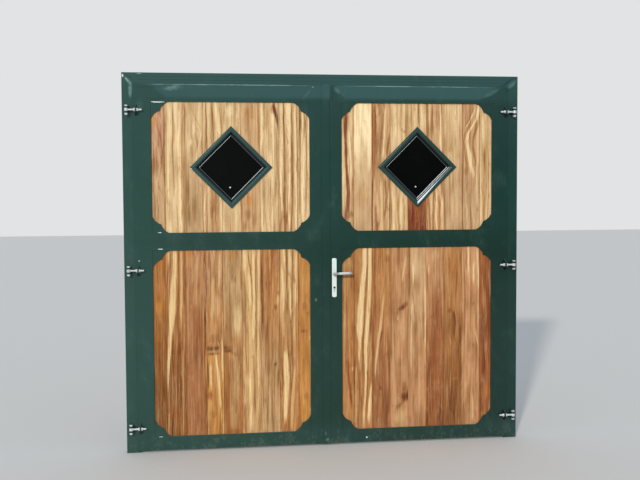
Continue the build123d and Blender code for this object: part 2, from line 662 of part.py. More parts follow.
with BuildPart() as right_top_rail:
    mirror(left_top_rail.part, about=Plane.YZ)
save(right_top_rail.part, "right_top_rail")

with BuildPart() as right_mid_rail:
    mirror(left_mid_rail.part, about=Plane.YZ)
save(right_mid_rail.part, "right_mid_rail")

with BuildPart() as right_bottom_rail:
    mirror(left_bottom_rail.part, about=Plane.YZ)
save(right_bottom_rail.part, "right_bottom_rail")

with BuildPart() as right_corner_plates:
    mirror(left_corner_plates.part, about=Plane.YZ)
save(right_corner_plates.part, "right_corner_plates")

with BuildPart() as right_upper_boards:
    mirror(left_upper_boards.part, about=Plane.YZ)
save(right_upper_boards.part, "right_upper_boards")

with BuildPart() as right_lower_boards:
    mirror(left_lower_boards.part, about=Plane.YZ)
save(right_lower_boards.part, "right_lower_boards")

with BuildPart() as right_panel_beads:
    mirror(left_panel_beads.part, about=Plane.YZ)
save(right_panel_beads.part, "right_panel_beads")

with BuildPart() as right_bead_screws:
    mirror(left_bead_screws.part, about=Plane.YZ)
save(right_bead_screws.part, "right_bead_screws")

with BuildPart() as right_window_trim_outside:
    mirror(left_window_trim_outside.part, about=Plane.YZ)
save(right_window_trim_outside.part, "right_window_trim_outside")

with BuildPart() as right_window_trim_inside:
    mirror(left_window_trim_inside.part, about=Plane.YZ)
save(right_window_trim_inside.part, "right_window_trim_inside")

with BuildPart() as right_window_gaskets:
    mirror(left_window_gaskets.part, about=Plane.YZ)
save(right_window_gaskets.part, "right_window_gaskets")

with BuildPart() as right_window_panes:
    mirror(left_window_panes.part, about=Plane.YZ)
save(right_window_panes.part, "right_window_panes")

with BuildPart() as right_window_spacer:
    mirror(left_window_spacer.part, about=Plane.YZ)
save(right_window_spacer.part, "right_window_spacer")

with BuildPart() as right_eye_bolts:
    mirror(left_eye_bolts.part, about=Plane.YZ)
save(right_eye_bolts.part, "right_eye_bolts")

with BuildPart() as right_hinge_lugs:
    mirror(left_hinge_lugs.part, about=Plane.YZ)
save(right_hinge_lugs.part, "right_hinge_lugs")

with BuildPart() as right_adjusting_nuts:
    mirror(left_adjusting_nuts.part, about=Plane.YZ)
save(right_adjusting_nuts.part, "right_adjusting_nuts")

# ---------------------------------------------------------------- right leaf: meeting stile, cover strip, lock
with BuildPart() as right_meeting_stile:
    mirror(meeting_stile_blank.part, about=Plane.YZ)
    # seat of the lock's forend in the tube's side
    with BuildSketch(Plane.YZ.offset(GAP_X)):
        with Locations((0, (FORE_LOW + FORE_TOP) / 2)):
            Rectangle(20, FORE_TOP - FORE_LOW)
    extrude(amount=WALL, mode=Mode.SUBTRACT)
    # lever, cylinder and screw holes through both walls
    with BuildSketch(Plane.XZ.offset(30)):
        with Locations((LOCK_X, LEVER_Z)):
            Circle(8)
        with Locations((LOCK_X, KEY_Z)):
            Circle(9)
        with Locations((LOCK_X, KEY_Z - 12.25)):
            SlotOverall(36, 11, rotation=90)
        with Locations((LOCK_X, 1200), (LOCK_X, 982)):
            Circle(2.8)
    extrude(amount=-60, mode=Mode.SUBTRACT)
save(right_meeting_stile.part, "right_meeting_stile")

# cover strip over the gap; its overhang stays 1 mm clear of the left leaf
with BuildPart() as cover_strip:
    with BuildSketch(Plane.XY.offset(LEAF_FOOT)) as strip_section:
        Polygon(
            (-25, LEAF_FRONT - 6),
            (25, LEAF_FRONT - 6),
            (25, LEAF_FRONT),
            (GAP_X + 3, LEAF_FRONT),
            (GAP_X + 3, LEAF_FRONT - 1),
            (-25, LEAF_FRONT - 1),
            align=None,
        )
        fillet(
            [v for v in strip_section.vertices() if v.Y < LEAF_FRONT - 5.9],
            1.5,
        )
    extrude(amount=LEAF_TOP + 5 - LEAF_FOOT)
save(cover_strip.part, "cover_strip")

with BuildPart() as lock_case:
    with BuildSketch(Plane.XZ.offset(8)):
        with Locations((42, 1075)):
            Rectangle(73, 176)
    extrude(amount=-16)
    # forend, let into the side of the stile
    with BuildSketch(Plane.YZ.offset(GAP_X)):
        with Locations((0, (FORE_LOW + FORE_TOP) / 2)):
            Rectangle(20, FORE_TOP - FORE_LOW)
    extrude(amount=WALL)
    # follower bore, cylinder hole and the room for its cam
    with BuildSketch(Plane.XZ.offset(9)):
        with Locations((LOCK_X, LEVER_Z)):
            Circle(9.25)
        with Locations((LOCK_X, KEY_Z)):
            Circle(8.7)
        with Locations((LOCK_X, KEY_Z - 12.25)):
            SlotOverall(35.4, 10.4, rotation=90)
    extrude(amount=-18, mode=Mode.SUBTRACT)
    with BuildSketch(Plane.XZ.offset(5.5)):
        with Locations((LOCK_X, KEY_Z)):
            Circle(14.5)
    extrude(amount=-11, mode=Mode.SUBTRACT)
    # channels of the latch and of the dead bolt
    with BuildSketch(Plane.YZ.offset(GAP_X - 1)):
        with Locations((0, LATCH_Z)):
            Rectangle(10.6, 18.6)
    extrude(amount=43, mode=Mode.SUBTRACT)
    with BuildSketch(Plane.YZ.offset(GAP_X - 1)):
        with Locations((0, BOLT_Z)):
            Rectangle(10.6, 30.6)
    extrude(amount=57, mode=Mode.SUBTRACT)
save(lock_case.part, "lock_case")

with BuildPart() as latch_bolt:
    with BuildSketch(Plane.XY.offset(LATCH_Z - 9)):
        Polygon(
            (GAP_X - LATCH_OUT, -5),
            (GAP_X - LATCH_OUT, -3),
            (GAP_X - 4, 5),
            (30, 5),
            (30, -5),
            align=None,
        )
    extrude(amount=18)
save(latch_bolt.part, "latch_bolt")

with BuildPart() as dead_bolt:
    with BuildSketch(Plane.YZ.offset(GAP_X + 0.3)):
        with Locations((0, BOLT_Z)):
            Rectangle(10, 30)
    extrude(amount=54)
save(dead_bolt.part, "dead_bolt")

with BuildPart() as cylinder_body:
    with BuildSketch(Plane.XZ.offset(35)):
        with Locations((LOCK_X, KEY_Z)):
            Circle(8.5)
        with Locations((LOCK_X, KEY_Z - 12.25)):
            SlotOverall(35, 10, rotation=90)
        with Locations((LOCK_X, KEY_Z)):
            Circle(6.45, mode=Mode.SUBTRACT)
    extrude(amount=-70)
    with BuildSketch(Plane.XZ.offset(5)):
        with Locations((LOCK_X, KEY_Z)):
            Rectangle(40, 29)
    extrude(amount=-10, mode=Mode.SUBTRACT)
save(cylinder_body.part, "cylinder_body")

with BuildPart() as cylinder_plug:
    with BuildSketch(Plane.XZ.offset(35.3)):
        with Locations((LOCK_X, KEY_Z)):
            Circle(6.37)
    extrude(amount=-70.6)
    # cam in the middle
    with BuildSketch(Plane.XZ.offset(4.6)):
        with Locations((LOCK_X, KEY_Z)):
            Circle(8.2)
        with Locations((LOCK_X + 7, KEY_Z)):
            Rectangle(12, 7)
    extrude(amount=-9.2)
    # keyways at both ends
    for y in (35.3, -35.3):
        with BuildSketch(Plane.XZ.offset(y)):
            with Locations((LOCK_X, KEY_Z - 0.5)):
                Rectangle(2.2, 9)
        extrude(amount=-26 if y > 0 else 26, mode=Mode.SUBTRACT)
save(cylinder_plug.part, "cylinder_plug")

with BuildPart() as outside_plate:
    with BuildSketch(Plane.XZ.offset(-LEAF_FRONT)):
        with Locations((LOCK_X, (PLATE_LOW + PLATE_TOP) / 2)):
            RectangleRounded(PLATE_W, PLATE_TOP - PLATE_LOW, 10)
    extrude(amount=PLATE_T)
    fillet(outside_plate.faces().sort_by(Axis.Y)[0].edges(), 2.5)
    with BuildSketch(Plane.XZ.offset(-LEAF_FRONT - 1)):
        with Locations((LOCK_X, LEVER_Z)):
            Circle(9.8)
        with Locations((LOCK_X, KEY_Z)):
            Circle(8.7)
        with Locations((LOCK_X, KEY_Z - 12.25)):
            SlotOverall(35.4, 10.4, rotation=90)
    extrude(amount=PLATE_T + 2, mode=Mode.SUBTRACT)
    # blind holes for the two screws from the inside
    with BuildSketch(Plane.XZ.offset(-LEAF_FRONT - 1)):
        with Locations((LOCK_X, 1200), (LOCK_X, 982)):
            Circle(2.6)
    extrude(amount=7, mode=Mode.SUBTRACT)
save(outside_plate.part, "outside_plate")

with BuildPart() as inside_plate:
    with BuildSketch(Plane.XZ.offset(-LEAF_BACK)):
        with Locations((LOCK_X, (PLATE_LOW + PLATE_TOP) / 2)):
            RectangleRounded(PLATE_W, PLATE_TOP - PLATE_LOW, 10)
    extrude(amount=-PLATE_T)
    fillet(inside_plate.faces().sort_by(Axis.Y)[-1].edges(), 2.5)
    with BuildSketch(Plane.XZ.offset(-LEAF_BACK + 1)):
        with Locations((LOCK_X, LEVER_Z)):
            Circle(9.8)
        with Locations((LOCK_X, KEY_Z)):
            Circle(8.7)
        with Locations((LOCK_X, KEY_Z - 12.25)):
            SlotOverall(35.4, 10.4, rotation=90)
        with Locations((LOCK_X, 1200), (LOCK_X, 982)):
            Circle(2.6)
    extrude(amount=-PLATE_T - 2, mode=Mode.SUBTRACT)
save(inside_plate.part, "inside_plate")

with BuildPart() as plate_screws:
    with BuildSketch(Plane.XZ.offset(-LEAF_FRONT + 5)):
        with Locations((LOCK_X, 1200), (LOCK_X, 982)):
            Circle(2.5)
    extrude(amount=-(LEAF_BACK - LEAF_FRONT + 5 + PLATE_T))
    with BuildSketch(Plane.XZ.offset(-LEAF_BACK - PLATE_T)):
        with Locations((LOCK_X, 1200), (LOCK_X, 982)):
            Circle(4.5)
    extrude(amount=-2.2)
save(plate_screws.part, "plate_screws")

with BuildPart() as lock_follower:
    with BuildSketch(Plane.XZ.offset(8)):
        with Locations((LOCK_X, LEVER_Z)):
            Circle(9.2)
            Rectangle(8.1, 8.1, mode=Mode.SUBTRACT)
    extrude(amount=-16)
save(lock_follower.part, "lock_follower")

with BuildPart() as lever_spindle:
    with BuildSketch(Plane.XZ.offset(60)):
        with Locations((LOCK_X, LEVER_Z)):
            Rectangle(8, 8)
    extrude(amount=-120)
save(lever_spindle.part, "lever_spindle")

with BuildPart() as outside_lever:
    # neck
    with BuildSketch(Plane.XZ.offset(26)):
        with Locations((LOCK_X, LEVER_Z)):
            Circle(9.4)
    extrude(amount=51)
    fillet(outside_lever.edges().group_by(Axis.Y)[0], 4)
    # grip, gently bowed
    with BuildLine() as grip_path:
        ThreePointArc(
            (LOCK_X, -69.5, LEVER_Z + 1),
            (LOCK_X + 55, -71, LEVER_Z + 4.5),
            (LOCK_X + 109, -66, LEVER_Z + 4),
        )
    with BuildSketch(
        Plane(origin=grip_path.line @ 0, x_dir=(0, 1, 0), z_dir=grip_path.line % 0)
    ):
        Ellipse(5.2, 9)
    sweep(path=grip_path.line)
    fillet(outside_lever.edges().group_by(Axis.X)[-1], 2.2)
    # square socket of the spindle
    with BuildSketch(Plane.XZ.offset(25)):
        with Locations((LOCK_X, LEVER_Z)):
            Rectangle(8.1, 8.1)
    extrude(amount=36, mode=Mode.SUBTRACT)
save(outside_lever.part, "outside_lever")

with BuildPart() as inside_lever:
    mirror(outside_lever.part, about=Plane.XZ)
save(inside_lever.part, "inside_lever")
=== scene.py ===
"""Looks of the double stable door: paint, timber, glass, metal, welds and the small hardware that the photograph shows."""

import math

import bmesh
import bpy
import numpy as np
from mathutils import Matrix, Vector


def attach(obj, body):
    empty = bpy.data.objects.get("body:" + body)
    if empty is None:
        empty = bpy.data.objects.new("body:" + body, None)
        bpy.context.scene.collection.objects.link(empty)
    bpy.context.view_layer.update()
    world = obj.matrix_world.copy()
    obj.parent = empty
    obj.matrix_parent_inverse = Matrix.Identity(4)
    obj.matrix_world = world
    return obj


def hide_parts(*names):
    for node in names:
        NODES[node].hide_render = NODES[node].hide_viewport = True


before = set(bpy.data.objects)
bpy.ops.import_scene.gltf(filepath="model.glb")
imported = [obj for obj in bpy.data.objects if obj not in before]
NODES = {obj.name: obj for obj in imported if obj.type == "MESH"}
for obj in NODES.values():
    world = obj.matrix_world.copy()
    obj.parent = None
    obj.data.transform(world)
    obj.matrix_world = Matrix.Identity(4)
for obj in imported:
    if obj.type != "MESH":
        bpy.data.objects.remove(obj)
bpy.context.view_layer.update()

# ---------------------------------------------------------------- colours


def lin(rgb):
    """An sRGB colour in 0-255 as linear values."""
    return tuple(c / 255 / 12.92 if c <= 10.3 else ((c / 255 + 0.055) / 1.055) ** 2.4 for c in rgb)


TONES = {
    "cream": (238, 208, 158),
    "pale": (240, 216, 170),
    "sap": (228, 190, 136),
    "straw": (212, 176, 127),
    "tan": (200, 158, 110),
    "tan2": (182, 126, 74),
    "beige": (192, 153, 108),
    "pink": (196, 146, 108),
    "pink2": (184, 126, 84),
    "honey": (192, 136, 74),
    "gold": (210, 150, 70),
    "amber": (174, 114, 56),
    "orange": (198, 126, 58),
    "umber": (146, 94, 46),
    "umber2": (150, 96, 50),
    "russet": (146, 84, 42),
    "russet2": (158, 98, 54),
    "mahogany": (128, 66, 32),
    "red": (148, 70, 39),
    "dark": (108, 58, 26),
    "knot": (90, 52, 28),
    "olive": (196, 153, 110),
    "chestnut": (170, 114, 72),
    "rose": (190, 138, 94),
}

# ---------------------------------------------------------------- shader helpers


class Mat:
    """A material and short ways to add its nodes."""

    def __init__(self, name):
        self.m = bpy.data.materials.new(name)
        self.m.use_nodes = True
        self.t = self.m.node_tree
        self.t.nodes.clear()
        self.out = self.t.nodes.new("ShaderNodeOutputMaterial")
        self.b = self.t.nodes.new("ShaderNodeBsdfPrincipled")
        self.t.links.new(self.b.outputs[0], self.out.inputs[0])
        self.xyz = self.node("ShaderNodeTexCoord").outputs["Object"]

    def node(self, kind, **settings):
        n = self.t.nodes.new(kind)
        for k, v in settings.items():
            setattr(n, k, v)
        return n

    def put(self, socket, value):
        if isinstance(value, bpy.types.NodeSocket):
            self.t.links.new(value, socket)
        elif isinstance(value, (tuple, list)) and len(value) == 3 and len(socket.default_value) == 4:
            socket.default_value = (*value, 1.0)
        else:
            socket.default_value = value

    def set(self, **values):
        for k, v in values.items():
            self.put(self.b.inputs[k.replace("_", " ")], v)
        return self

    def math(self, op, a, b=0.0, c=0.0, clamp=False):
        n = self.node("ShaderNodeMath", operation=op, use_clamp=clamp)
        for s, v in zip(n.inputs, (a, b, c)):
            self.put(s, v)
        return n.outputs[0]

    def scaled(self, vector, x, y, z):
        n = self.node("ShaderNodeVectorMath", operation="MULTIPLY")
        self.put(n.inputs[0], vector)
        n.inputs[1].default_value = (x, y, z)
        return n.outputs[0]

    def shifted(self, vector, by):
        n = self.node("ShaderNodeVectorMath", operation="ADD")
        self.put(n.inputs[0], vector)
        self.put(n.inputs[1], by)
        return n.outputs[0]

    def noise(self, vector, scale, detail=2.0, rough=0.5, distortion=0.0):
        n = self.node("ShaderNodeTexNoise")
        self.put(n.inputs["Vector"], vector)
        n.inputs["Scale"].default_value = scale
        n.inputs["Detail"].default_value = detail
        n.inputs["Roughness"].default_value = rough
        n.inputs["Distortion"].default_value = distortion
        return n.outputs["Fac"]

    def voronoi(self, vector, scale, feature="F1", out="Distance"):
        n = self.node("ShaderNodeTexVoronoi", feature=feature)
        self.put(n.inputs["Vector"], vector)
        n.inputs["Scale"].default_value = scale
        return n.outputs[out]

    def step(self, value, a, b, low=0.0, high=1.0):
        n = self.node("ShaderNodeMapRange", interpolation_type="SMOOTHSTEP")
        self.put(n.inputs["Value"], value)
        for k, v in (("From Min", a), ("From Max", b), ("To Min", low), ("To Max", high)):
            n.inputs[k].default_value = v
        return n.outputs["Result"]

    def mix(self, fac, a, b, blend="MIX"):
        n = self.node("ShaderNodeMix", data_type="RGBA", blend_type=blend)
        self.put(n.inputs[0], fac)
        self.put(n.inputs[6], a)
        self.put(n.inputs[7], b)
        return n.outputs[2]

    def split(self, vector):
        n = self.node("ShaderNodeSeparateXYZ")
        self.put(n.inputs[0], vector)
        return n.outputs

    def join(self, x, y, z):
        n = self.node("ShaderNodeCombineXYZ")
        for s, v in zip(n.inputs, (x, y, z)):
            self.put(s, v)
        return n.outputs[0]

    def attribute(self, name, out="Fac"):
        return self.node("ShaderNodeAttribute", attribute_name=name).outputs[out]

    def blot(self, cx, cz, rx, rz, lean):
        """A soft oval on the outside face, in mm: 1 in its middle, 0 outside."""
        n = self.node("ShaderNodeMapping", vector_type="TEXTURE")
        self.put(n.inputs["Vector"], self.xyz)
        n.inputs["Location"].default_value = (cx / 1000, -0.022, cz / 1000)
        n.inputs["Rotation"].default_value = (0, -math.radians(lean), 0)
        n.inputs["Scale"].default_value = (rx / 1000, 0.02, rz / 1000)
        length = self.node("ShaderNodeVectorMath", operation="LENGTH")
        self.put(length.inputs[0], n.outputs[0])
        return self.step(length.outputs["Value"], 1.25, 0.45)

    def bump(self, height, strength, distance=0.001, normal=None):
        n = self.node("ShaderNodeBump")
        n.inputs["Strength"].default_value = strength
        n.inputs["Distance"].default_value = distance
        self.put(n.inputs["Height"], height)
        if normal is not None:
            self.put(n.inputs["Normal"], normal)
        return n.outputs[0]


# ---------------------------------------------------------------- paint


def paint(name, light, dark, rough=0.2, marks=(), rail_sheen=0.0, lines=(), window=None, glint_edge_painted=False):
    """Dark green gloss paint on steel, a little lighter towards the left, with dust on ledges, splashes at the foot,
    marks of use, and painted light and shade: darker and greener low on the right, paler on the top rails, thin dark
    lines on the frame head, shadows and reflections among the marks, shade in the window grooves and a highlight along
    one window's glass.
    """
    m = Mat(name)
    x, y, z = m.split(m.xyz)
    normal = m.split(m.node("ShaderNodeNewGeometry").outputs["Normal"])
    high = m.step(z, 2.19, 2.26)
    side = m.math("MULTIPLY", m.step(x, -1.25, 1.15), m.math("SUBTRACT", 1.0, m.math("MULTIPLY", high, 0.55)))
    soft = m.noise(m.xyz, 2.2, 3, 0.55)
    fade = m.math("ADD", m.math("MULTIPLY", m.math("SUBTRACT", soft, 0.5), 0.7), side, clamp=True)
    tone = m.mix(fade, lin(light), lin(dark))
    # darker and greener towards the lower right, from 0.2 to 1.2 m up: painted shade
    foot = m.math("MULTIPLY", m.math("MULTIPLY", m.step(z, 1.5, 1.2), m.step(z, 0.06, 0.2)), m.step(x, -1.1, 0.3))
    tone = m.mix(foot, tone, m.mix(1.0, tone, (0.30, 0.70, 0.62), "MULTIPLY"))
    cloud = m.step(m.noise(m.scaled(m.xyz, 1, 1, 0.5), 11, 4, 0.62), 0.5, 0.78)
    tone = m.mix(m.math("MULTIPLY", cloud, 0.10), tone, lin((78, 112, 104)))
    if rail_sheen:
        # paler on the top rails, a painted reflection of the sky, with round lower corners at the meeting line and at
        # the hinge sides
        inner = m.math("MULTIPLY", m.step(x, 0.028, 0.034), m.step(x, 0.14, 0.04))
        outer = m.math("ADD", m.step(x, 1.0, 1.16), m.step(x, -0.98, -1.14))
        rise = m.math("MULTIPLY", m.math("ADD", inner, outer), 0.09)
        above = m.math("SUBTRACT", z, m.math("ADD", rise, 2.222))
        tone = m.mix(m.math("MULTIPLY", m.step(above, 0.0, 0.03), m.step(x, -0.05, 0.05, rail_sheen * 0.78, rail_sheen)), tone, lin((52, 88, 88)))
    ledge = m.math("MULTIPLY", m.step(normal[2], 0.7, 0.97), m.step(m.noise(m.xyz, 35, 4, 0.65), 0.3, 0.7, 0.4, 1.0))
    tone = m.mix(m.math("MULTIPLY", ledge, 0.45), tone, lin((118, 132, 120)))
    low = m.math("MULTIPLY", m.step(z, 0.16, 0.0), m.step(m.noise(m.scaled(m.xyz, 1, 1, 0.8), 24, 5, 0.7), 0.44, 0.75))
    tone = m.mix(m.math("MULTIPLY", low, 0.28), tone, lin((110, 118, 98)))
    specks = m.step(m.voronoi(m.xyz, 42), 0.07, 0.035)
    specks = m.math("MULTIPLY", specks, m.step(m.noise(m.xyz, 7, 2), 0.60, 0.72))
    tone = m.mix(m.math("MULTIPLY", specks, 0.5), tone, lin((150, 168, 156)))
    # two thin dark lines along the frame head: painted reflection
    for at in lines:
        line = m.math("MULTIPLY", m.step(m.math("ABSOLUTE", m.math("SUBTRACT", z, at / 1000)), 0.004, 0.001), m.step(x, -1.2, -1.16))
        tone = m.mix(m.math("MULTIPLY", line, 0.35), tone, lin((20, 42, 38)))
    broken = m.noise(m.scaled(m.xyz, 1, 1, 1.6), 60, 4, 0.6)
    torn = m.noise(m.scaled(m.xyz, 1, 1, 1.5), 26, 3, 0.6)
    # marks of use and painted shadows, highlights and reflections, each a soft oval
    for cx, cz, rx, rz, lean, rgb, strength, *ragged in marks:
        edge = m.step(torn, 0.36, 0.60, 0.15, 1.0) if ragged else m.step(broken, 0.34, 0.56, 0.45, 1.0)
        tone = m.mix(m.math("MULTIPLY", m.math("MULTIPLY", m.blot(cx, cz, rx, rz, lean), edge), strength), tone, lin(rgb))
    if window:
        # the groove of a window bead is painted dark as shade, but for its lower right side
        dx, dz = m.math("SUBTRACT", x, window[0]), m.math("SUBTRACT", z, window[1])
        r = m.math("MULTIPLY", m.math("ADD", m.math("ABSOLUTE", dx), m.math("ABSOLUTE", dz)), 0.7071)
        lower_right = m.math("MULTIPLY", m.step(dx, -0.004, 0.004), m.step(dz, 0.004, -0.004))
        groove = m.math("MULTIPLY", m.step(r, 0.1625, 0.1590), m.math("SUBTRACT", 1.0, m.math("MULTIPLY", lower_right, 0.75)))
        tone = m.mix(m.math("MULTIPLY", groove, 0.85), tone, lin((8, 18, 17)))
    if glint_edge_painted:
        # on this one the lower right side has painted shade on its inner wall and a painted highlight of the sun along
        # the glass
        along = m.math("MULTIPLY", m.math("ADD", dx, dz), 0.7071)
        tone = m.mix(m.math("MULTIPLY", m.step(r, 0.1585, 0.1570), lower_right), tone, lin((6, 14, 13)))
        width = m.step(along, 0.05, -0.15, 0.002, 0.0115)
        into = m.math("DIVIDE", m.math("SUBTRACT", r, 0.1592), width)
        painted_glint = m.math("MULTIPLY", m.math("MULTIPLY", m.step(into, 1.25, 0.55), m.step(into, -0.15, 0.05)), m.step(along, 0.11, 0.0, 0.12, 1.0))
        painted_glint = m.math("MULTIPLY", painted_glint, lower_right)
        tone = m.mix(m.math("MULTIPLY", painted_glint, 0.95), tone, lin((224, 232, 236)))
    dirt = m.math("ADD", m.math("MULTIPLY", ledge, 0.35), m.math("MULTIPLY", low, 0.25))
    rough_map = m.math("ADD", m.math("ADD", m.math("MULTIPLY", cloud, 0.10), dirt), rough, clamp=True)
    peel = m.noise(m.xyz, 240, 2, 0.5)
    wave = m.noise(m.scaled(m.xyz, 3, 3, 7), 1, 2, 0.5)
    normal_map = m.bump(peel, 0.06, 0.0005, m.bump(wave, 0.3, 0.004))
    m.set(Base_Color=tone, Roughness=rough_map, Normal=normal_map)
    m.set(Specular_IOR_Level=0.45)
    return m.m


# Marks on the leaves' paint: some are stains and wear, others painted shadows and reflections, named one by one below.
LEAF_MARKS_AND_PAINTED_LIGHT = [
    # darker across the left mid rail
    (-610, 1335, 560, 60, 0, (22, 48, 42), 0.42),
    # painted shadow under the left leaf's top edge
    (-1130, 2301, 92, 9, 0, (30, 54, 50), 0.65),
    # a pale stain on the left top rail
    (-960, 2296, 62, 17, 4, (112, 144, 132), 0.6, True),
    # painted shadow above the weld at the top left corner plate
    (-1066, 2227, 50, 7, 0, (26, 50, 46), 0.6),
    (-1165, 2190, 24, 50, 0, (74, 108, 100), 0.35, True),
    # painted shadow beside the right leaf's top outer corner
    (1200, 2297, 13, 14, 0, (22, 42, 40), 0.7),
    # painted reflection on the right top rail
    (1096, 2281, 62, 15, 28, (76, 112, 108), 0.5),
    # painted shadow to the right of the cover strip
    (44, 2262, 10, 60, 0, (22, 46, 44), 0.55),
    # painted reflection at the top of the right leaf by the meeting line
    (76, 2288, 30, 14, -48, (84, 120, 116), 0.5),
    (-120, 2262, 44, 10, 50, (84, 118, 112), 0.3, True),
    (-67, 950, 8, 12, 0, (112, 142, 132), 0.5),
    (2, 38, 15, 9, 20, (118, 138, 124), 0.6),
    (-8, 78, 7, 14, 0, (104, 126, 114), 0.5),
]
# Marks on the frame's paint: painted highlights and shade at the two top mitres, a pale upright patch on the left jamb
# and two pale flecks.
FRAME_MARKS_AND_PAINTED_LIGHT = [
    # painted highlight along the top left mitre
    (-1234, 2338, 36, 11, -50, (116, 148, 138), 0.6),
    (-1242, 2347, 18, 5, -50, (168, 192, 182), 0.4),
    # painted shade beside it
    (-1226, 2363, 28, 7, -42, (30, 52, 48), 0.5),
    (-1222, 2282, 13, 50, 0, (104, 138, 134), 0.75),
    (-1267, 2370, 6, 11, 0, (228, 238, 228), 0.9),
    (-1168, 2383, 17, 3, 0, (160, 180, 170), 0.7),
    # painted shade along the top right mitre, and a painted reflection below it
    (1206, 2352, 58, 8, 37, (18, 38, 36), 0.75),
    (1236, 2338, 40, 16, 45, (78, 116, 110), 0.7),
]
LEAF_PAINT = paint("leaf_paint_finish", (30, 65, 57), (17, 50, 43), 0.2, LEAF_MARKS_AND_PAINTED_LIGHT, 0.6)
FRAME_PAINT = paint("frame_paint_finish", (34, 69, 61), (22, 55, 49), 0.2, FRAME_MARKS_AND_PAINTED_LIGHT, 0.25, (2346, 2367))
# the hinge lugs in a darker copy of the green paint: painted shade
LUG_SHADE_PAINT = paint("lug_painted_shade_finish", (17, 36, 32), (12, 28, 25), 0.3)
TRIM_PAINT = paint("trim_paint_finish", (38, 76, 70), (26, 62, 56), 0.17)
LEFT_TRIM = paint("left_trim_paint_finish", (34, 69, 66), (26, 58, 54), 0.3, window=(-0.60125, 1.80075))
RIGHT_TRIM = paint("right_trim_paint_finish", (31, 65, 60), (24, 56, 51), 0.3, window=(0.60125, 1.80075), glint_edge_painted=True)

# ---------------------------------------------------------------- metal, rubber, glass


def metal(name, colour, rough, metallic, fine=500, grime=0.25, patch=18, dull=None, eyes=False, lever=False):
    """Plated or anodised metal: fine directionless texture, a little dullness in patches."""
    m = Mat(name)
    grain = m.noise(m.xyz, fine, 2, 0.6)
    cloud = m.noise(m.xyz, patch, 4, 0.6)
    dull = dull or tuple(c * 0.62 for c in colour)
    tone = m.mix(m.math("MULTIPLY", m.step(cloud, 0.45, 0.75), grime), lin(colour), lin(dull))
    metal_map = metallic
    x, y, z = m.split(m.xyz)
    if eyes:
        # the ends of the eyes carry the green paint of the bracket
        level = m.math("ABSOLUTE", m.math("SUBTRACT", m.math("FRACT", m.math("ADD", z, 0.342)), 0.5))
        green = m.math("MULTIPLY", m.step(level, 0.0078, 0.0095), m.step(m.math("ABSOLUTE", x), 1.212, 1.222))
        tone = m.mix(green, tone, lin((16, 36, 32)))
        metal_map = m.step(green, 0.0, 1.0, metallic, 0.0)
    if lever:
        # painted reflection: darker at root and tip than in the middle; painted shade underneath
        tone = m.mix(m.math("MULTIPLY", m.step(x, 0.088, 0.066), 0.65), tone, lin((92, 92, 88)))
        tone = m.mix(m.math("MULTIPLY", m.step(x, 0.133, 0.161), 0.6), tone, lin((112, 108, 100)))
        down = m.split(m.node("ShaderNodeNewGeometry").outputs["Normal"])[2]
        tone = m.mix(m.math("MULTIPLY", m.step(down, -0.1, -0.75), 0.75), tone, lin((58, 52, 46)))
    m.set(
        Base_Color=tone,
        Metallic=metal_map,
        Roughness=m.math("ADD", m.math("MULTIPLY", cloud, 0.16), rough - 0.08),
        Normal=m.bump(grain, 0.12, 0.0003),
    )
    return m.m


PLATE = metal("handle_plate_finish", (228, 238, 232), 0.36, 0.28, 700, 0.10)
HANDLE = metal("handle_aluminium_finish", (238, 238, 232), 0.26, 0.6, 700, 0.12, lever=True)
ZINC = metal("bright_zinc_finish", (232, 235, 230), 0.26, 0.62, 260, 0.55, 60, (120, 118, 104))
EYE_ZINC = metal("eye_bolt_zinc_finish", (232, 235, 230), 0.26, 0.62, 260, 0.55, 60, (120, 118, 104), eyes=True)
NICKEL = metal("cylinder_nickel_finish", (212, 216, 208), 0.3, 0.4, 600, 0.3)
PLUG = metal("key_plug_finish", (62, 58, 50), 0.34, 0.8, 600, 0.3)
STEEL = metal("plain_steel_finish", (168, 170, 168), 0.34, 0.8, 420, 0.4, 40, (110, 104, 96))
SPACER = metal("spacer_aluminium_finish", (196, 202, 200), 0.4, 0.1, 300, 0.1)
# lighter and darker copies of the spacer finish: painted highlight and painted shade
SPACER_PAINTED_HIGHLIGHT = metal("bright_spacer_finish", (240, 244, 244), 0.4, 0.05, 300, 0.1)
SPACER_PAINTED_SHADE = metal("dim_spacer_finish", (72, 78, 78), 0.4, 0.2, 300, 0.1)

rubber = Mat("black_rubber_finish")
rubber.set(
    Base_Color=rubber.mix(rubber.step(rubber.noise(rubber.xyz, 60, 4, 0.6), 0.45, 0.8), lin((10, 11, 11)), lin((24, 24, 23))),
    Roughness=rubber.step(rubber.noise(rubber.xyz, 90, 3), 0.3, 0.7, 0.55, 0.75),
    Normal=rubber.bump(rubber.noise(rubber.xyz, 400, 2), 0.2, 0.0003),
)
rubber.set(Specular_IOR_Level=0.2)
RUBBER = rubber.m

# near-black panes: their dark base colour is painted shade, standing in for the dark room behind the glass
glass = Mat("window_glass_finish")
film = glass.step(glass.noise(glass.xyz, 7, 5, 0.6), 0.35, 0.85)
glass.set(
    Base_Color=glass.mix(glass.math("MULTIPLY", film, 0.4), lin((5, 6, 6)), lin((14, 16, 15))),
    Roughness=glass.math("ADD", glass.math("MULTIPLY", film, 0.04), 0.03),
)
glass.set(IOR=1.5)
glass.set(Specular_IOR_Level=0.14)
GLASS = glass.m

# ---------------------------------------------------------------- timber


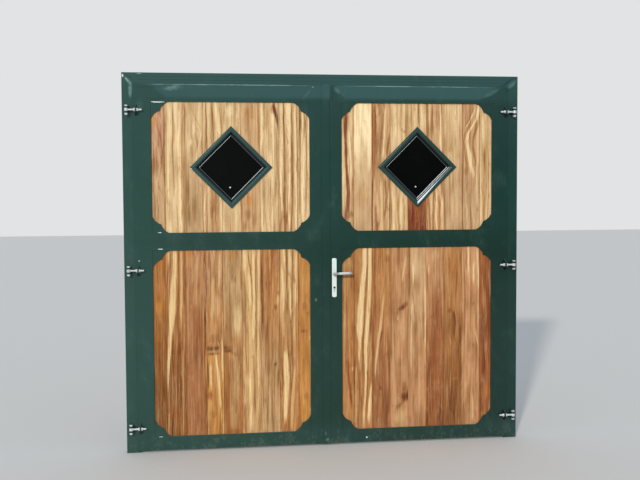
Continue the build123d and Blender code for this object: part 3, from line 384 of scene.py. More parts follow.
def hardwood():
    """Oiled hardwood boards. The tone and the run of the grain come from the mesh; fibres, pores and colour streaks are added here along that grain."""
    m = Mat("hardwood_finish")
    tone = m.attribute("tone", "Color")
    u = m.attribute("grain")
    seed = m.attribute("seed")
    face = m.attribute("face")
    grainy = m.attribute("grainy")
    x, y, z = m.split(m.xyz)

    def along(across, length, detail, rough=0.6, sway=0.0):
        return m.noise(m.join(m.math("MULTIPLY", u, across), m.math("MULTIPLY", z, length), seed), 1, detail, rough, sway)

    fibre = along(330.0, 4.5, 5, 0.66)
    fine = along(1300.0, 14.0, 2)
    band = along(95.0, 2.2, 4, 0.6, 0.4)
    figure = along(38.0, 7.0, 4, 0.62, 0.9)
    fleck = along(210.0, 34.0, 3)
    deep = m.mix(1.0, tone, lin((180, 140, 105)), "MULTIPLY")
    deeper = m.mix(1.0, tone, lin((176, 126, 88)), "MULTIPLY")
    pale = m.mix(0.36, tone, lin((248, 224, 172)))
    tone = m.mix(m.math("MULTIPLY", m.step(figure, 0.54, 0.70, 0.0, 0.55), grainy), tone, deep)
    tone = m.mix(m.math("MULTIPLY", m.step(figure, 0.44, 0.30, 0.0, 0.45), grainy), tone, pale)
    tone = m.mix(m.math("MULTIPLY", m.step(band, 0.54, 0.66, 0.0, 0.56), grainy), tone, deeper)
    tone = m.mix(m.math("MULTIPLY", m.step(band, 0.45, 0.34, 0.0, 0.56), grainy), tone, pale)
    tone = m.mix(m.math("MULTIPLY", m.step(fibre, 0.52, 0.66, 0.0, 0.58), grainy), tone, deep)
    tone = m.mix(m.math("MULTIPLY", m.step(fibre, 0.48, 0.34, 0.0, 0.58), grainy), tone, pale)
    tone = m.mix(m.math("MULTIPLY", m.step(fine, 0.52, 0.72, 0.0, 0.3), grainy), tone, deep)
    tone = m.mix(m.math("MULTIPLY", m.step(fleck, 0.60, 0.70, 0.0, 0.25), grainy), tone, deeper)
    pores = m.step(along(2300.0, 60.0, 1, 0.5), 0.64, 0.72)
    tone = m.mix(m.math("MULTIPLY", pores, 0.4), tone, lin((96, 58, 32)))
    tone = m.mix(m.math("MULTIPLY", face, 0.2), tone, m.mix(1.0, tone, lin((214, 196, 180)), "MULTIPLY"))
    foot = m.math("MULTIPLY", m.step(z, 0.34, 0.1), m.step(m.noise(m.xyz, 22, 4, 0.6), 0.4, 0.75))
    tone = m.mix(m.math("MULTIPLY", foot, 0.16), tone, lin((112, 82, 58)))
    rough = m.math("ADD", m.math("MULTIPLY", fibre, 0.22), 0.40)
    ribs = m.bump(fibre, 0.3, 0.0006)
    m.set(Base_Color=tone, Roughness=rough, Normal=m.bump(m.math("SUBTRACT", fine, m.math("MULTIPLY", pores, 0.8)), 0.22, 0.0003, ribs))
    m.set(Specular_IOR_Level=0.16)
    return m.m


WOOD = hardwood()

FINISH = {
    "frame_paint": FRAME_PAINT,
    "leaf_paint": LEAF_PAINT,
    "trim_paint": TRIM_PAINT,
    "hardwood": WOOD,
    "black_rubber": RUBBER,
    "window_glass": GLASS,
    "spacer_aluminium": SPACER,
    "handle_aluminium": HANDLE,
    "bright_zinc": ZINC,
    "cylinder_nickel": NICKEL,
    "plain_steel": STEEL,
}


def slot_of(node):
    """The record's material slot of a CAD node, by what the node is."""
    if node.endswith("_boards"):
        return "hardwood"
    if node.endswith("_panes"):
        return "window_glass"
    if node.endswith("_gaskets") or node == "frame_seal":
        return "black_rubber"
    if node.endswith("_spacer"):
        return "spacer_aluminium"
    if "window_trim" in node:
        return "trim_paint"
    if node in ("outside_lever", "inside_lever", "outside_plate", "inside_plate"):
        return "handle_aluminium"
    if node.startswith("cylinder"):
        return "cylinder_nickel"
    if node == "hinge_brackets":
        return "frame_paint"
    if node in ("hinge_pins", "hinge_lock_nuts") or node.endswith(("_eye_bolts", "_adjusting_nuts")):
        return "bright_zinc"
    if node in ("strike_plate", "lock_case", "latch_bolt", "dead_bolt", "lever_spindle", "lock_follower", "plate_screws"):
        return "plain_steel"
    if "screws" in node or node.startswith("shoot_bolt"):
        return "plain_steel"
    if node.startswith("frame_"):
        return "frame_paint"
    return "leaf_paint"


for name, node in NODES.items():
    node.data.materials.clear()
    node.data.materials.append({
        "cylinder_plug": PLUG, "outside_plate": PLATE, "inside_plate": PLATE, "left_eye_bolts": EYE_ZINC, "right_eye_bolts": EYE_ZINC, "left_hinge_lugs": LUG_SHADE_PAINT, "right_hinge_lugs": LUG_SHADE_PAINT,
    }.get(name, FINISH[slot_of(name)]))

# folded and sawn steel has small round edges
ROUNDED = {"frame_head": 2.0, "frame_jamb_left": 2.0, "frame_jamb_right": 2.0, "cover_strip": 1.0, "hinge_brackets": 0.8}
for hand in ("left", "right"):
    for part, radius in (("hinge_stile", 1.8), ("meeting_stile", 1.8), ("top_rail", 1.8), ("mid_rail", 1.8), ("bottom_rail", 1.8), ("corner_plates", 0.9), ("hinge_lugs", 0.8), ("window_trim_inside", 1.2)):
        ROUNDED[f"{hand}_{part}"] = radius
for name, radius in ROUNDED.items():
    weld = NODES[name].modifiers.new("join", "WELD")
    weld.merge_threshold = 0.00002
    bevel = NODES[name].modifiers.new("edges", "BEVEL")
    bevel.width, bevel.segments, bevel.limit_method, bevel.angle_limit = radius * 0.001, 3, "ANGLE", math.radians(40)
    bevel.miter_outer = "MITER_ARC"
    NODES[name].modifiers.new("shading", "WEIGHTED_NORMAL").keep_sharp = True

# ---------------------------------------------------------------- boards

MM = 0.001
PANEL_CX, PITCH = 601.25, 120.0
FRONT, BACK, VEE, PLAY = -15.0, 13.0, 1.5, 0.2
PANELS = {
    "upper_left": (-1, 1375.5, 2226.0),
    "upper_right": (1, 1375.5, 2226.0),
    "lower_left": (-1, 82.0, 1295.5),
    "lower_right": (1, 82.0, 1295.5),
}

# Each board from left to right: tone at the head, tone at the foot, how lively it is, and what is seen on it, in mm.
# A streak is a line of (x, z, width); a patch is its centre and its half sizes.
FIGURE = {
    "upper_left": [
        ("pink", "beige", 1.0, [
            ("russet", 0.6, (-1082, 1822), (20, 72)),
            ("umber", 0.6, [(-1060, 2062, 7.2), (-1038, 1982, 7.2), (-1030, 1902, 7.2), (-1042, 1806, 7.2)]),
            ("straw", 0.7, [(-1086, 1982, 8.8), (-1054, 1918, 8.8), (-1046, 1806, 9.6), (-1070, 1678, 8.0)]),
            ("sap", 0.5, [(-1070, 1710, 9.6), (-1062, 1582, 11.2), (-1070, 1502, 9.6)]),
            ("pink", 0.6, [(-1050, 1662, 6.4), (-1038, 1542, 6.4), (-1046, 1462, 6.4)]),
            ("honey", 0.7, (-1078, 2086), (21, 48)),
            ("straw", 0.5, (-1034, 2110), (11, 48)),
        ]),
        ("straw", "straw", 1.1, [
            ("umber", 0.7, [(-1017, 2198, 6.4), (-1017, 1742, 6.4), (-1016, 1398, 6.4)]),
            ("cream", 0.7, [(-990, 2174, 19.2), (-990, 1982, 16.0), (-998, 1742, 14.4), (-990, 1406, 16.0)]),
            ("umber", 0.6, [(-962, 2142, 7.2), (-966, 1902, 8.8), (-962, 1662, 7.2)]),
            ("cream", 0.85, [(-946, 2198, 16.0), (-938, 2062, 19.2), (-922, 1862, 19.2), (-918, 1662, 24.0), (-922, 1398, 19.2)]),
            ("amber", 0.6, [(-908, 2062, 8.0), (-910, 1822, 8.0), (-910, 1502, 9.6)]),
            ("amber", 0.4, [(-1008, 1822, 6.4), (-1006, 1582, 8.0)]),
        ]),
        ("straw", "beige", 0.8, [
            ("cream", 0.8, (-834, 2038), (14, 48)),
            ("cream", 0.8, (-854, 1958), (13, 26)),
            ("umber", 0.6, [(-892, 2198, 6.4), (-890, 1982, 6.4), (-892, 1742, 4.8)]),
            ("cream", 0.35, [(-870, 2182, 16.0), (-862, 2022, 14.4), (-870, 1862, 12.8)]),
            ("cream", 0.7, [(-788, 2014, 9.6), (-810, 1902, 11.2), (-830, 1806, 9.6)]),
            ("amber", 0.35, [(-846, 2158, 6.4), (-814, 2094, 8.0), (-790, 2046, 6.4)]),
            ("pink", 0.3, (-834, 1478), (24, 56)),
            ("amber", 0.35, [(-878, 1726, 6.4), (-870, 1502, 7.2)]),
        ]),
        ("straw", "tan", 1.2, [
            ("umber", 0.85, [(-758, 2198, 7.2), (-756, 2062, 8.8), (-760, 1942, 7.2)]),
            ("sap", 0.5, [(-774, 2142, 9.6), (-774, 1942, 9.6)]),
            ("cream", 0.8, [(-774, 1710, 9.6), (-770, 1398, 9.6)]),
            ("umber", 0.85, [(-720, 2174, 7.2), (-712, 2062, 8.8), (-710, 1982, 7.2)]),
            ("cream", 0.9, [(-694, 2198, 16.0), (-690, 2102, 16.0), (-686, 2014, 12.8)]),
            ("umber", 0.6, [(-672, 2174, 6.4), (-662, 2062, 6.4)]),
            ("amber", 0.7, [(-728, 1678, 11.2), (-726, 1582, 12.8), (-722, 1398, 9.6)]),
            ("cream", 0.5, [(-742, 1726, 11.2), (-746, 1582, 12.8), (-742, 1398, 11.2)]),
            ("cream", 0.95, [(-673, 1630, 11.2), (-667, 1502, 11.2), (-665, 1390, 9.6)]),
            ("amber", 0.6, [(-706, 1614, 8.0), (-702, 1502, 8.0), (-694, 1398, 8.0)]),
        ]),
        ("straw", "straw", 0.8, [
            ("pale", 0.7, (-610, 2154), (29, 44)),
            ("cream", 0.6, [(-558, 2126, 12.8), (-562, 2070, 12.8)]),
            ("amber", 0.5, [(-642, 2182, 6.4), (-646, 2102, 6.4)]),
            ("cream", 0.9, [(-547, 1542, 8.0), (-545, 1390, 8.0)]),
            ("olive", 0.5, (-638, 1534), (10, 48)),
            ("amber", 0.5, [(-598, 1502, 5.6), (-598, 1390, 6.4)]),
            ("beige", 0.6, (-630, 1454), (24, 56)),
        ]),
        ("tan", "tan", 0.8, [
            ("amber", 0.5, [(-430, 2174, 8.0), (-428, 2062, 11.2), (-427, 1966, 8.0)]),
            ("honey", 0.4, (-478, 2134), (32, 48)),
            ("orange", 0.7, (-490, 1590), (26, 48)),
            ("umber", 0.5, (-494, 1502), (21, 40)),
            ("umber", 0.5, (-518, 1422), (16, 32)),
            ("umber", 0.35, (-458, 1462), (16, 48)),
            ("amber", 0.5, [(-536, 1710, 6.4), (-534, 1390, 6.4)]),
        ]),
        ("straw", "straw", 0.9, [
            ("cream", 0.85, [(-408, 2198, 11.2), (-406, 1982, 12.8), (-414, 1934, 9.6)]),
            ("cream", 0.8, [(-340, 2174, 11.2), (-334, 1982, 12.8), (-342, 1806, 12.8), (-336, 1662, 11.2)]),
            ("dark", 0.95, [(-330, 2186, 17.6), (-318, 2142, 20.8), (-308, 2102, 14.4), (-306, 2066, 8.0)]),
            ("russet", 0.5, (-338, 2166), (18, 32)),
            ("amber", 0.4, [(-370, 2158, 6.4), (-366, 2022, 6.4)]),
            ("umber", 0.5, [(-310, 2022, 6.4), (-308, 1742, 4.8)]),
            ("amber", 0.5, [(-386, 1502, 6.4), (-382, 1398, 6.4)]),
            ("cream", 0.8, [(-408, 1542, 12.8), (-406, 1390, 11.2)]),
            ("umber", 0.4, [(-354, 1726, 6.4), (-354, 1422, 8.0)]),
        ]),
        ("straw", "tan", 1.2, [
            ("cream", 0.9, [(-284, 2174, 12.8), (-283, 1902, 12.8), (-286, 1662, 12.8), (-281, 1542, 11.2)]),
            ("umber", 0.85, [(-266, 2198, 8.0), (-265, 1902, 9.6), (-265, 1582, 11.2), (-262, 1406, 12.8)]),
            ("cream", 0.9, [(-236, 2198, 12.8), (-234, 1902, 11.2), (-236, 1582, 9.6), (-234, 1422, 8.0)]),
            ("umber", 0.85, [(-216, 2158, 8.0), (-214, 1902, 11.2), (-216, 1582, 9.6), (-222, 1406, 12.8)]),
            ("cream", 0.95, [(-196, 2174, 12.8), (-193, 1902, 14.4), (-192, 1502, 16.0), (-190, 1398, 11.2)]),
            ("russet", 0.8, (-252, 1478), (11, 48)),
            ("honey", 0.5, (-230, 1542), (11, 48)),
        ]),
        ("straw", "straw", 1.1, [
            ("umber", 0.65, [(-166, 2158, 9.6), (-164, 1902, 9.6), (-168, 1542, 11.2)]),
            ("cream", 0.9, [(-146, 2134, 11.2), (-144, 1902, 14.4), (-146, 1582, 14.4), (-144, 1470, 11.2)]),
            ("umber", 0.65, [(-126, 2086, 6.4), (-124, 1822, 6.4), (-128, 1502, 6.4)]),
            ("cream", 0.85, [(-110, 2102, 11.2), (-108, 1822, 9.6), (-110, 1510, 11.2)]),
        ]),
    ],
    "upper_right": [
        ("straw", "straw", 1.0, [
            ("cream", 0.6, [(113, 2078, 9.6), (113, 1822, 9.6), (113, 1542, 9.6)]),
            ("mahogany", 0.95, [(135, 2126, 19.2), (130, 2062, 19.2), (129, 1982, 14.4), (134, 1862, 12.8), (138, 1774, 14.4), (145, 1694, 19.2), (150, 1630, 20.8), (142, 1542, 22.4), (137, 1478, 22.4)]),
            ("cream", 0.7, [(152, 2022, 11.2), (162, 1902, 11.2), (170, 1742, 9.6)]),
            ("umber", 0.4, [(166, 1982, 4.8), (173, 1822, 4.8), (175, 1662, 4.8)]),
            ("russet", 0.7, (156, 1498), (24, 26)),
            ("sap", 0.5, [(166, 1702, 12.8), (168, 1614, 11.2)]),
            ("pink", 0.4, (162, 1582), (13, 48)),
        ]),
        ("cream", "beige", 0.6, [
            ("cream", 0.5, [(200, 2142, 17.6), (200, 1902, 17.6)]),
            ("straw", 0.4, (256, 1918), (20, 48)),
            ("pale", 0.7, [(284, 2142, 16.0), (284, 1806, 16.0)]),
            ("straw", 0.5, [(218, 2174, 8.0), (220, 2022, 8.0)]),
            ("amber", 0.5, [(183, 2174, 4.8), (183, 1398, 4.8)]),
            ("honey", 0.3, (240, 1614), (40, 96)),
        ]),
        ("tan", "tan", 1.4, [
            ("mahogany", 0.8, [(306, 2198, 7.2), (306, 1822, 7.2), (306, 1398, 7.2)]),
            ("russet", 0.8, [(322, 2174, 16.0), (324, 2022, 20.8), (320, 1902, 22.4), (318, 1774, 17.6)]),
            ("straw", 0.6, [(344, 2174, 9.6), (346, 2046, 8.0)]),
            ("umber", 0.8, [(368, 2078, 8.8), (362, 1998, 11.2), (356, 1918, 11.2), (350, 1838, 9.6)]),
            ("cream", 0.8, [(390, 2166, 12.8), (384, 1982, 9.6), (374, 1878, 9.6)]),
            ("umber", 0.8, [(415, 1990, 9.6), (408, 1934, 12.8), (400, 1886, 11.2)]),
            ("sap", 0.5, [(338, 1614, 9.6), (356, 1462, 9.6)]),
            ("russet", 0.85, [(326, 1534, 14.4), (330, 1398, 16.0)]),
            ("umber", 0.8, [(390, 1710, 12.8), (400, 1614, 11.2), (388, 1502, 9.6)]),
            ("sap", 0.7, [(368, 1542, 8.0), (372, 1398, 9.6)]),
            ("cream", 0.6, [(412, 1630, 9.6), (408, 1502, 11.2), (408, 1398, 9.6)]),
        ]),
        ("straw", "straw", 1.1, [
            ("cream", 0.6, [(454, 2174, 20.8), (458, 2022, 19.2)]),
            ("umber", 0.5, [(425, 2174, 5.6), (425, 1398, 5.6)]),
            ("russet", 0.8, (514, 2032), (9, 9)),
            ("russet", 0.6, (502, 2041), (6, 6)),
            ("amber", 0.5, [(492, 2174, 6.4), (492, 2062, 6.4)]),
            ("cream", 0.6, [(438, 1630, 9.6), (446, 1398, 11.2)]),
            ("amber", 0.6, [(468, 1582, 6.4), (480, 1398, 7.2)]),
            ("cream", 0.6, [(494, 1582, 9.6), (498, 1398, 9.6)]),
            ("umber", 0.5, [(516, 1542, 7.2), (518, 1398, 7.2)]),
        ]),
        ("straw", "russet", 0.9, [
            ("umber", 0.85, [(610, 2206, 11.2), (608, 2142, 9.6), (612, 2078, 6.4)]),
            ("amber", 0.5, [(564, 2174, 8.0), (560, 2102, 6.4)]),
            ("orange", 0.6, (582, 2172), (8, 11)),
            ("cream", 0.6, [(630, 2158, 11.2), (636, 2078, 9.6)]),
            ("russet", 0.9, [(604, 1542, 20.8), (604, 1454, 17.6), (602, 1390, 12.8)]),
            ("orange", 0.45, [(604, 1542, 9.6), (604, 1502, 8.0), (604, 1470, 4.8)]),
            ("mahogany", 0.85, [(566, 1534, 30.4), (567, 1390, 35.2)]),
            ("mahogany", 0.85, [(638, 1518, 27.2), (638, 1390, 33.6)]),
            ("red", 0.6, [(582, 1502, 11.2), (582, 1390, 12.8)]),
            ("amber", 0.5, (624, 1502), (8, 48)),
        ]),
        ("tan", "tan", 1.4, [
            ("umber", 0.85, [(668, 2198, 7.2), (669, 1982, 7.2), (669, 1662, 7.2), (669, 1398, 7.2)]),
            ("cream", 0.7, [(686, 2198, 11.2), (684, 2094, 9.6)]),
            ("umber", 0.7, [(702, 2174, 7.2), (704, 2022, 8.8)]),
            ("pink", 0.9, [(726, 2198, 22.4), (728, 2062, 19.2), (732, 1958, 12.8)]),
            ("cream", 0.9, [(754, 2198, 9.6), (756, 1982, 11.2), (760, 1902, 9.6)]),
            ("pink", 0.6, [(772, 2174, 8.0), (772, 1982, 9.6)]),
            ("amber", 0.6, [(680, 1614, 8.0), (682, 1398, 8.0)]),
            ("cream", 0.7, [(694, 1582, 8.0), (694, 1502, 8.0)]),
            ("umber", 0.8, [(712, 1646, 8.0), (708, 1542, 10.4), (708, 1398, 10.4)]),
            ("cream", 0.9, [(732, 1630, 8.0), (728, 1502, 11.2), (732, 1398, 9.6)]),
            ("amber", 0.8, [(752, 1582, 9.6), (748, 1398, 11.2)]),
            ("cream", 0.8, [(770, 1582, 8.0), (768, 1502, 8.0)]),
        ]),
        ("straw", "beige", 0.7, [
            ("beige", 0.5, [(798, 2142, 16.0), (799, 1822, 16.0)]),
            ("cream", 0.6, [(852, 2174, 11.2), (856, 2022, 11.2)]),
            ("pink", 0.5, [(886, 2062, 12.8), (884, 1742, 12.8)]),
            ("umber", 0.6, [(786, 1630, 5.6), (786, 1398, 6.4)]),
            ("umber", 0.4, [(816, 1774, 5.6), (820, 1502, 5.6)]),
            ("straw", 0.5, (852, 1566), (32, 128)),
        ]),
        ("tan", "beige", 1.0, [
            ("mahogany", 0.5, [(906, 2198, 5.6), (906, 1902, 5.6), (906, 1398, 4.8)]),
            ("pink", 0.9, (930, 2134), (27, 72)),
            ("cream", 0.9, [(1012, 2182, 14.4), (998, 2110, 14.4), (972, 2070, 14.4), (942, 2022, 16.0), (934, 1966, 17.6), (948, 1886, 20.8), (958, 1822, 22.4), (977, 1758, 19.2)]),
            ("umber", 0.55, [(929, 2050, 5.6), (916, 2006, 6.4), (913, 1950, 6.4), (924, 1870, 6.4), (937, 1798, 5.6)]),
            ("umber", 0.75, [(1023, 2150, 7.2), (1012, 2078, 8.8), (988, 2030, 12.0), (974, 1966, 14.4), (978, 1902, 16.0), (991, 1838, 11.2)]),
            ("straw", 0.8, [(1012, 2062, 9.6), (1002, 1990, 12.8), (1006, 1918, 11.2), (1012, 1846, 8.0)]),
            ("cream", 0.8, [(988, 2174, 6.4), (964, 2118, 7.2), (924, 2054, 7.2)]),
            ("umber", 0.5, [(976, 2174, 4.8), (948, 2110, 5.6), (916, 2062, 4.8)]),
            ("pink", 0.6, (980, 1958), (14, 40)),
            ("pink", 0.6, (956, 1702), (26, 64)),
            ("straw", 0.5, [(932, 1622, 16.0), (940, 1398, 16.0)]),
            ("umber", 0.7, (1008, 1524), (6, 11)),
            ("cream", 0.5, [(1000, 1742, 9.6), (1004, 1582, 9.6)]),
            ("russet", 0.4, (932, 1774), (16, 32)),
        ]),
        ("straw", "straw", 0.9, [
            ("umber", 0.7, [(1056, 1894, 11.2), (1056, 1838, 12.8), (1058, 1786, 9.6)]),
            ("amber", 0.6, [(1036, 1662, 8.0), (1052, 1614, 8.0), (1044, 1486, 8.0)]),
            ("cream", 0.6, [(1040, 2102, 16.0), (1044, 1982, 14.4)]),
            ("umber", 0.4, [(1080, 1886, 6.4), (1082, 1742, 6.4)]),
            ("amber", 0.5, (1084, 1610), (8, 24)),
            ("beige", 0.4, (1072, 1710), (16, 40)),
        ]),
    ],
    "lower_left": [
        ("amber", "umber", 0.7, [
            ("gold", 0.7, (-1062, 916), (27, 48)),
            ("orange", 0.4, (-1074, 732), (24, 32)),
            ("honey", 0.5, [(-1094, 1092, 8.0), (-1094, 572, 8.0)]),
            ("dark", 0.4, [(-1042, 492, 8.0), (-1038, 252, 9.6)]),
            ("mahogany", 0.4, (-1062, 180), (32, 40)),
            ("honey", 0.3, (-1062, 1092), (32, 88)),
        ]),
        ("tan2", "umber2", 1.1, [
            ("cream", 0.6, [(-1000, 1268, 11.2), (-1000, 1216, 9.6)]),
            ("cream", 0.98, [(-961, 1252, 22.4), (-966, 1148, 22.4), (-974, 1068, 30.4), (-978, 956, 36.8), (-982, 876, 36.8), (-990, 796, 27.2), (-998, 700, 19.2), (-1008, 572, 16.0), (-1014, 444, 10.4)]),
            ("umber", 0.85, [(-938, 1252, 10.4), (-940, 1052, 10.4), (-946, 892, 8.8), (-954, 732, 7.2)]),
            ("sap", 0.8, [(-920, 1252, 10.4), (-922, 1052, 10.4), (-928, 812, 8.8)]),
            ("dark", 0.6, [(-907, 1244, 7.2), (-908, 972, 6.4)]),
            ("umber", 0.6, [(-1002, 1164, 8.0), (-1015, 1052, 6.4)]),
            ("honey", 0.5, [(-958, 684, 8.0), (-962, 492, 8.0), (-966, 132, 8.0)]),
            ("umber", 0.6, [(-978, 572, 6.4), (-978, 212, 6.4)]),
            ("sap", 0.5, [(-918, 604, 8.8), (-920, 492, 8.8), (-918, 132, 8.8)]),
            ("dark", 0.5, [(-938, 652, 6.4), (-932, 332, 6.4)]),
            ("dark", 0.7, [(-994, 188, 11.2), (-992, 100, 12.8)]),
            ("sap", 0.5, [(-1008, 412, 6.4), (-1011, 132, 6.4)]),
        ]),
        ("rose", "chestnut", 0.6, [
            ("tan", 0.4, [(-846, 1260, 24.0), (-854, 1100, 19.2)]),
            ("russet2", 0.5, [(-830, 892, 48.0), (-834, 492, 48.0)]),
            ("umber", 0.4, [(-802, 492, 14.4), (-802, 132, 16.0)]),
            ("orange", 0.6, (-870, 1256), (24, 32)),
            ("honey", 0.5, [(-882, 1172, 11.2), (-870, 1244, 9.6)]),
            ("tan", 0.6, [(-812, 1252, 14.4), (-830, 1172, 16.0), (-834, 1100, 11.2)]),
            ("honey", 0.4, [(-802, 1132, 9.6), (-794, 1052, 8.0)]),
            ("russet", 0.5, (-826, 772), (40, 208)),
            ("dark", 0.6, (-868, 948), (6, 11)),
            ("umber", 0.8, [(-896, 1268, 7.2), (-896, 732, 7.2), (-896, 108, 7.2)]),
            ("honey", 0.5, [(-878, 252, 8.0), (-870, 116, 8.0)]),
            ("umber", 0.4, (-834, 292), (16, 64)),
            ("tan", 0.3, [(-794, 892, 8.0), (-790, 492, 8.0)]),
        ]),
        ("rose", "honey", 1.1, [
            ("dark", 0.85, [(-774, 1244, 8.8), (-766, 1068, 10.4), (-773, 892, 7.2), (-776, 652, 5.6)]),
            ("mahogany", 0.7, [(-746, 1268, 9.6), (-750, 1180, 9.6)]),
            ("cream", 0.6, [(-718, 1276, 11.2), (-713, 1236, 8.0)]),
            ("tan", 0.7, [(-690, 1244, 32.0), (-686, 1084, 35.2), (-706, 892, 35.2)]),
            ("cream", 0.7, [(-682, 1236, 9.6), (-684, 1132, 11.2), (-689, 1052, 8.0)]),
            ("sap", 0.7, [(-724, 1076, 14.4), (-728, 972, 19.2), (-732, 860, 14.4)]),
            ("cream", 0.7, [(-702, 972, 11.2), (-700, 860, 9.6)]),
            ("amber", 0.7, [(-746, 972, 9.6), (-752, 844, 9.6)]),
            ("russet2", 0.8, (-718, 708), (38, 40)),
            ("umber", 0.7, (-728, 652), (45, 27)),
            ("dark", 0.95, (-732, 650), (40, 13)),
            ("dark", 0.95, (-726, 620), (37, 10)),
            ("knot", 0.8, (-706, 654), (16, 11)),
            ("straw", 0.7, (-734, 634), (24, 6)),
            ("cream", 0.95, [(-672, 692, 8.0), (-669, 572, 9.6), (-667, 468, 8.0)]),
            ("gold", 0.7, (-746, 580), (19, 24)),
            ("cream", 0.8, [(-746, 532, 12.8), (-742, 420, 12.8)]),
            ("cream", 0.98, [(-710, 588, 9.6), (-699, 508, 13.6), (-692, 412, 15.2), (-685, 292, 11.2)]),
            ("knot", 0.98, [(-763, 548, 6.4), (-761, 476, 8.0), (-760, 416, 6.4)]),
            ("russet", 0.8, (-750, 348), (18, 34)),
            ("umber", 0.7, [(-718, 372, 8.0), (-710, 252, 8.0)]),
            ("cream", 0.6, [(-673, 228, 11.2), (-671, 100, 9.6)]),
            ("dark", 0.6, [(-774, 412, 6.4), (-773, 100, 10.4)]),
            ("umber", 0.5, (-726, 228), (29, 24)),
            ("umber", 0.6, (-698, 272), (19, 6)),
        ]),
        ("beige", "tan2", 0.9, [
            ("umber", 0.4, [(-622, 1052, 6.4), (-620, 844, 6.4)]),
            ("umber", 0.35, [(-638, 572, 5.6), (-636, 140, 6.4)]),
            ("beige", 0.8, [(-590, 604, 32.0), (-588, 444, 40.0), (-598, 156, 36.8)]),
            ("umber", 0.35, (-598, 484), (16, 48)),
            ("honey", 0.7, (-604, 1244), (48, 35)),
            ("pale", 0.8, (-572, 832), (29, 120)),
            ("straw", 0.4, (-586, 972), (24, 40)),
            ("umber", 0.7, (-585, 1087), (8, 22)),
            ("umber", 0.5, (-600, 1104), (6, 14)),
            ("umber", 0.4, (-618, 956), (6, 48)),
            ("umber", 0.5, [(-550, 1140, 8.0), (-546, 1044, 8.0)]),
            ("umber", 0.9, (-633, 647), (37, 18)),
            ("dark", 0.85, (-630, 630), (29, 10)),
            ("dark", 0.8, (-652, 658), (10, 16)),
            ("umber", 0.6, (-590, 612), (32, 11), -20),
            ("umber", 0.4, [(-630, 492, 8.0), (-612, 324, 7.2)]),
            ("russet", 0.5, (-602, 112), (64, 16)),
            ("umber", 0.4, (-642, 780), (13, 48)),
            ("umber", 0.3, (-614, 548), (24, 40)),
        ]),
        ("tan", "tan", 1.1, [
            ("sap", 0.7, [(-494, 1252, 48.0), (-489, 956, 48.0), (-494, 572, 40.0), (-494, 172, 32.0)]),
            ("cream", 0.85, [(-522, 1252, 24.0), (-518, 1148, 20.8), (-496, 1068, 17.6), (-490, 956, 16.0)]),
            ("umber", 0.75, [(-500, 1252, 7.2), (-481, 1092, 7.2), (-477, 956, 7.2)]),
            ("cream", 0.8, [(-468, 1244, 12.8), (-465, 972, 12.8), (-470, 732, 11.2)]),
            ("umber", 0.6, [(-451, 1212, 5.6), (-451, 892, 5.6), (-452, 652, 5.6)]),
            ("cream", 0.7, [(-433, 1252, 9.6), (-434, 972, 9.6), (-440, 652, 8.0)]),
            ("olive", 0.4, (-486, 652), (24, 35)),
            ("amber", 0.7, [(-520, 780, 8.8), (-518, 492, 10.4)]),
            ("cream", 0.9, [(-494, 452, 12.8), (-492, 252, 14.4), (-490, 148, 11.2)]),
            ("umber", 0.6, [(-470, 492, 7.2), (-464, 252, 7.2)]),
            ("cream", 0.8, [(-444, 588, 8.0), (-441, 412, 9.6)]),
            ("umber", 0.75, [(-528, 260, 12.8), (-526, 108, 16.0)]),
            ("umber", 0.3, (-514, 372), (11, 72)),
            ("amber", 0.5, [(-430, 452, 8.0), (-432, 124, 8.0)]),
            ("umber", 0.5, [(-506, 780, 5.6), (-504, 492, 5.6)]),
        ]),
        ("tan2", "beige", 1.0, [
            ("umber", 0.6, [(-406, 1132, 9.6), (-406, 780, 11.2)]),
            ("umber", 0.5, [(-378, 892, 9.6), (-374, 572, 9.6), (-378, 252, 7.2)]),
            ("umber", 0.4, [(-340, 492, 6.4), (-340, 140, 6.4)]),
            ("tan", 0.5, [(-398, 1244, 11.2), (-396, 972, 9.6)]),
            ("sap", 0.8, [(-364, 1276, 9.6), (-361, 1164, 8.0)]),
            ("russet", 0.6, (-366, 1052), (8, 24)),
            ("honey", 0.8, [(-344, 996, 11.2), (-350, 876, 11.2), (-353, 732, 8.8)]),
            ("pink", 0.5, [(-322, 1244, 24.0), (-322, 1084, 20.8)]),
            ("dark", 0.6, [(-412, 1244, 6.4), (-412, 732, 6.4)]),
            ("dark", 0.5, (-386, 1052), (6, 32)),
            ("dark", 0.6, (-310, 1000), (14, 11)),
            ("dark", 0.7, (-329, 906), (11, 21)),
            ("knot", 0.95, (-332, 535), (8, 8)),
            ("dark", 0.3, [(-386, 780, 19.2), (-386, 492, 20.8)]),
            ("honey", 0.5, [(-354, 524, 12.8), (-342, 444, 11.2)]),
            ("pink", 0.6, [(-322, 348, 19.2), (-322, 188, 19.2)]),
            ("beige", 0.4, [(-398, 372, 16.0), (-398, 124, 14.4)]),
            ("cream", 0.5, (-312, 956), (8, 32)),
        ]),
        ("tan", "tan2", 1.2, [
            ("cream", 0.9, [(-270, 1276, 11.2), (-268, 1196, 9.6)]),
            ("umber", 0.85, [(-256, 1252, 8.8), (-254, 1052, 8.8), (-252, 908, 7.2)]),
            ("cream", 0.95, [(-235, 1260, 15.2), (-238, 1092, 12.0), (-232, 932, 12.0), (-217, 732, 10.4)]),
            ("umber", 0.8, [(-214, 1244, 9.6), (-220, 1052, 10.4), (-223, 892, 10.4), (-220, 716, 10.4), (-224, 588, 8.8)]),
            ("cream", 0.8, [(-288, 1148, 11.2), (-278, 1052, 11.2), (-278, 892, 12.8)]),
            ("honey", 0.5, (-278, 684), (16, 32)),
            ("cream", 0.98, [(-264, 612, 27.2), (-260, 452, 36.8), (-262, 332, 25.6), (-270, 196, 20.8)]),
            ("umber", 0.75, [(-224, 492, 9.6), (-226, 380, 8.8)]),
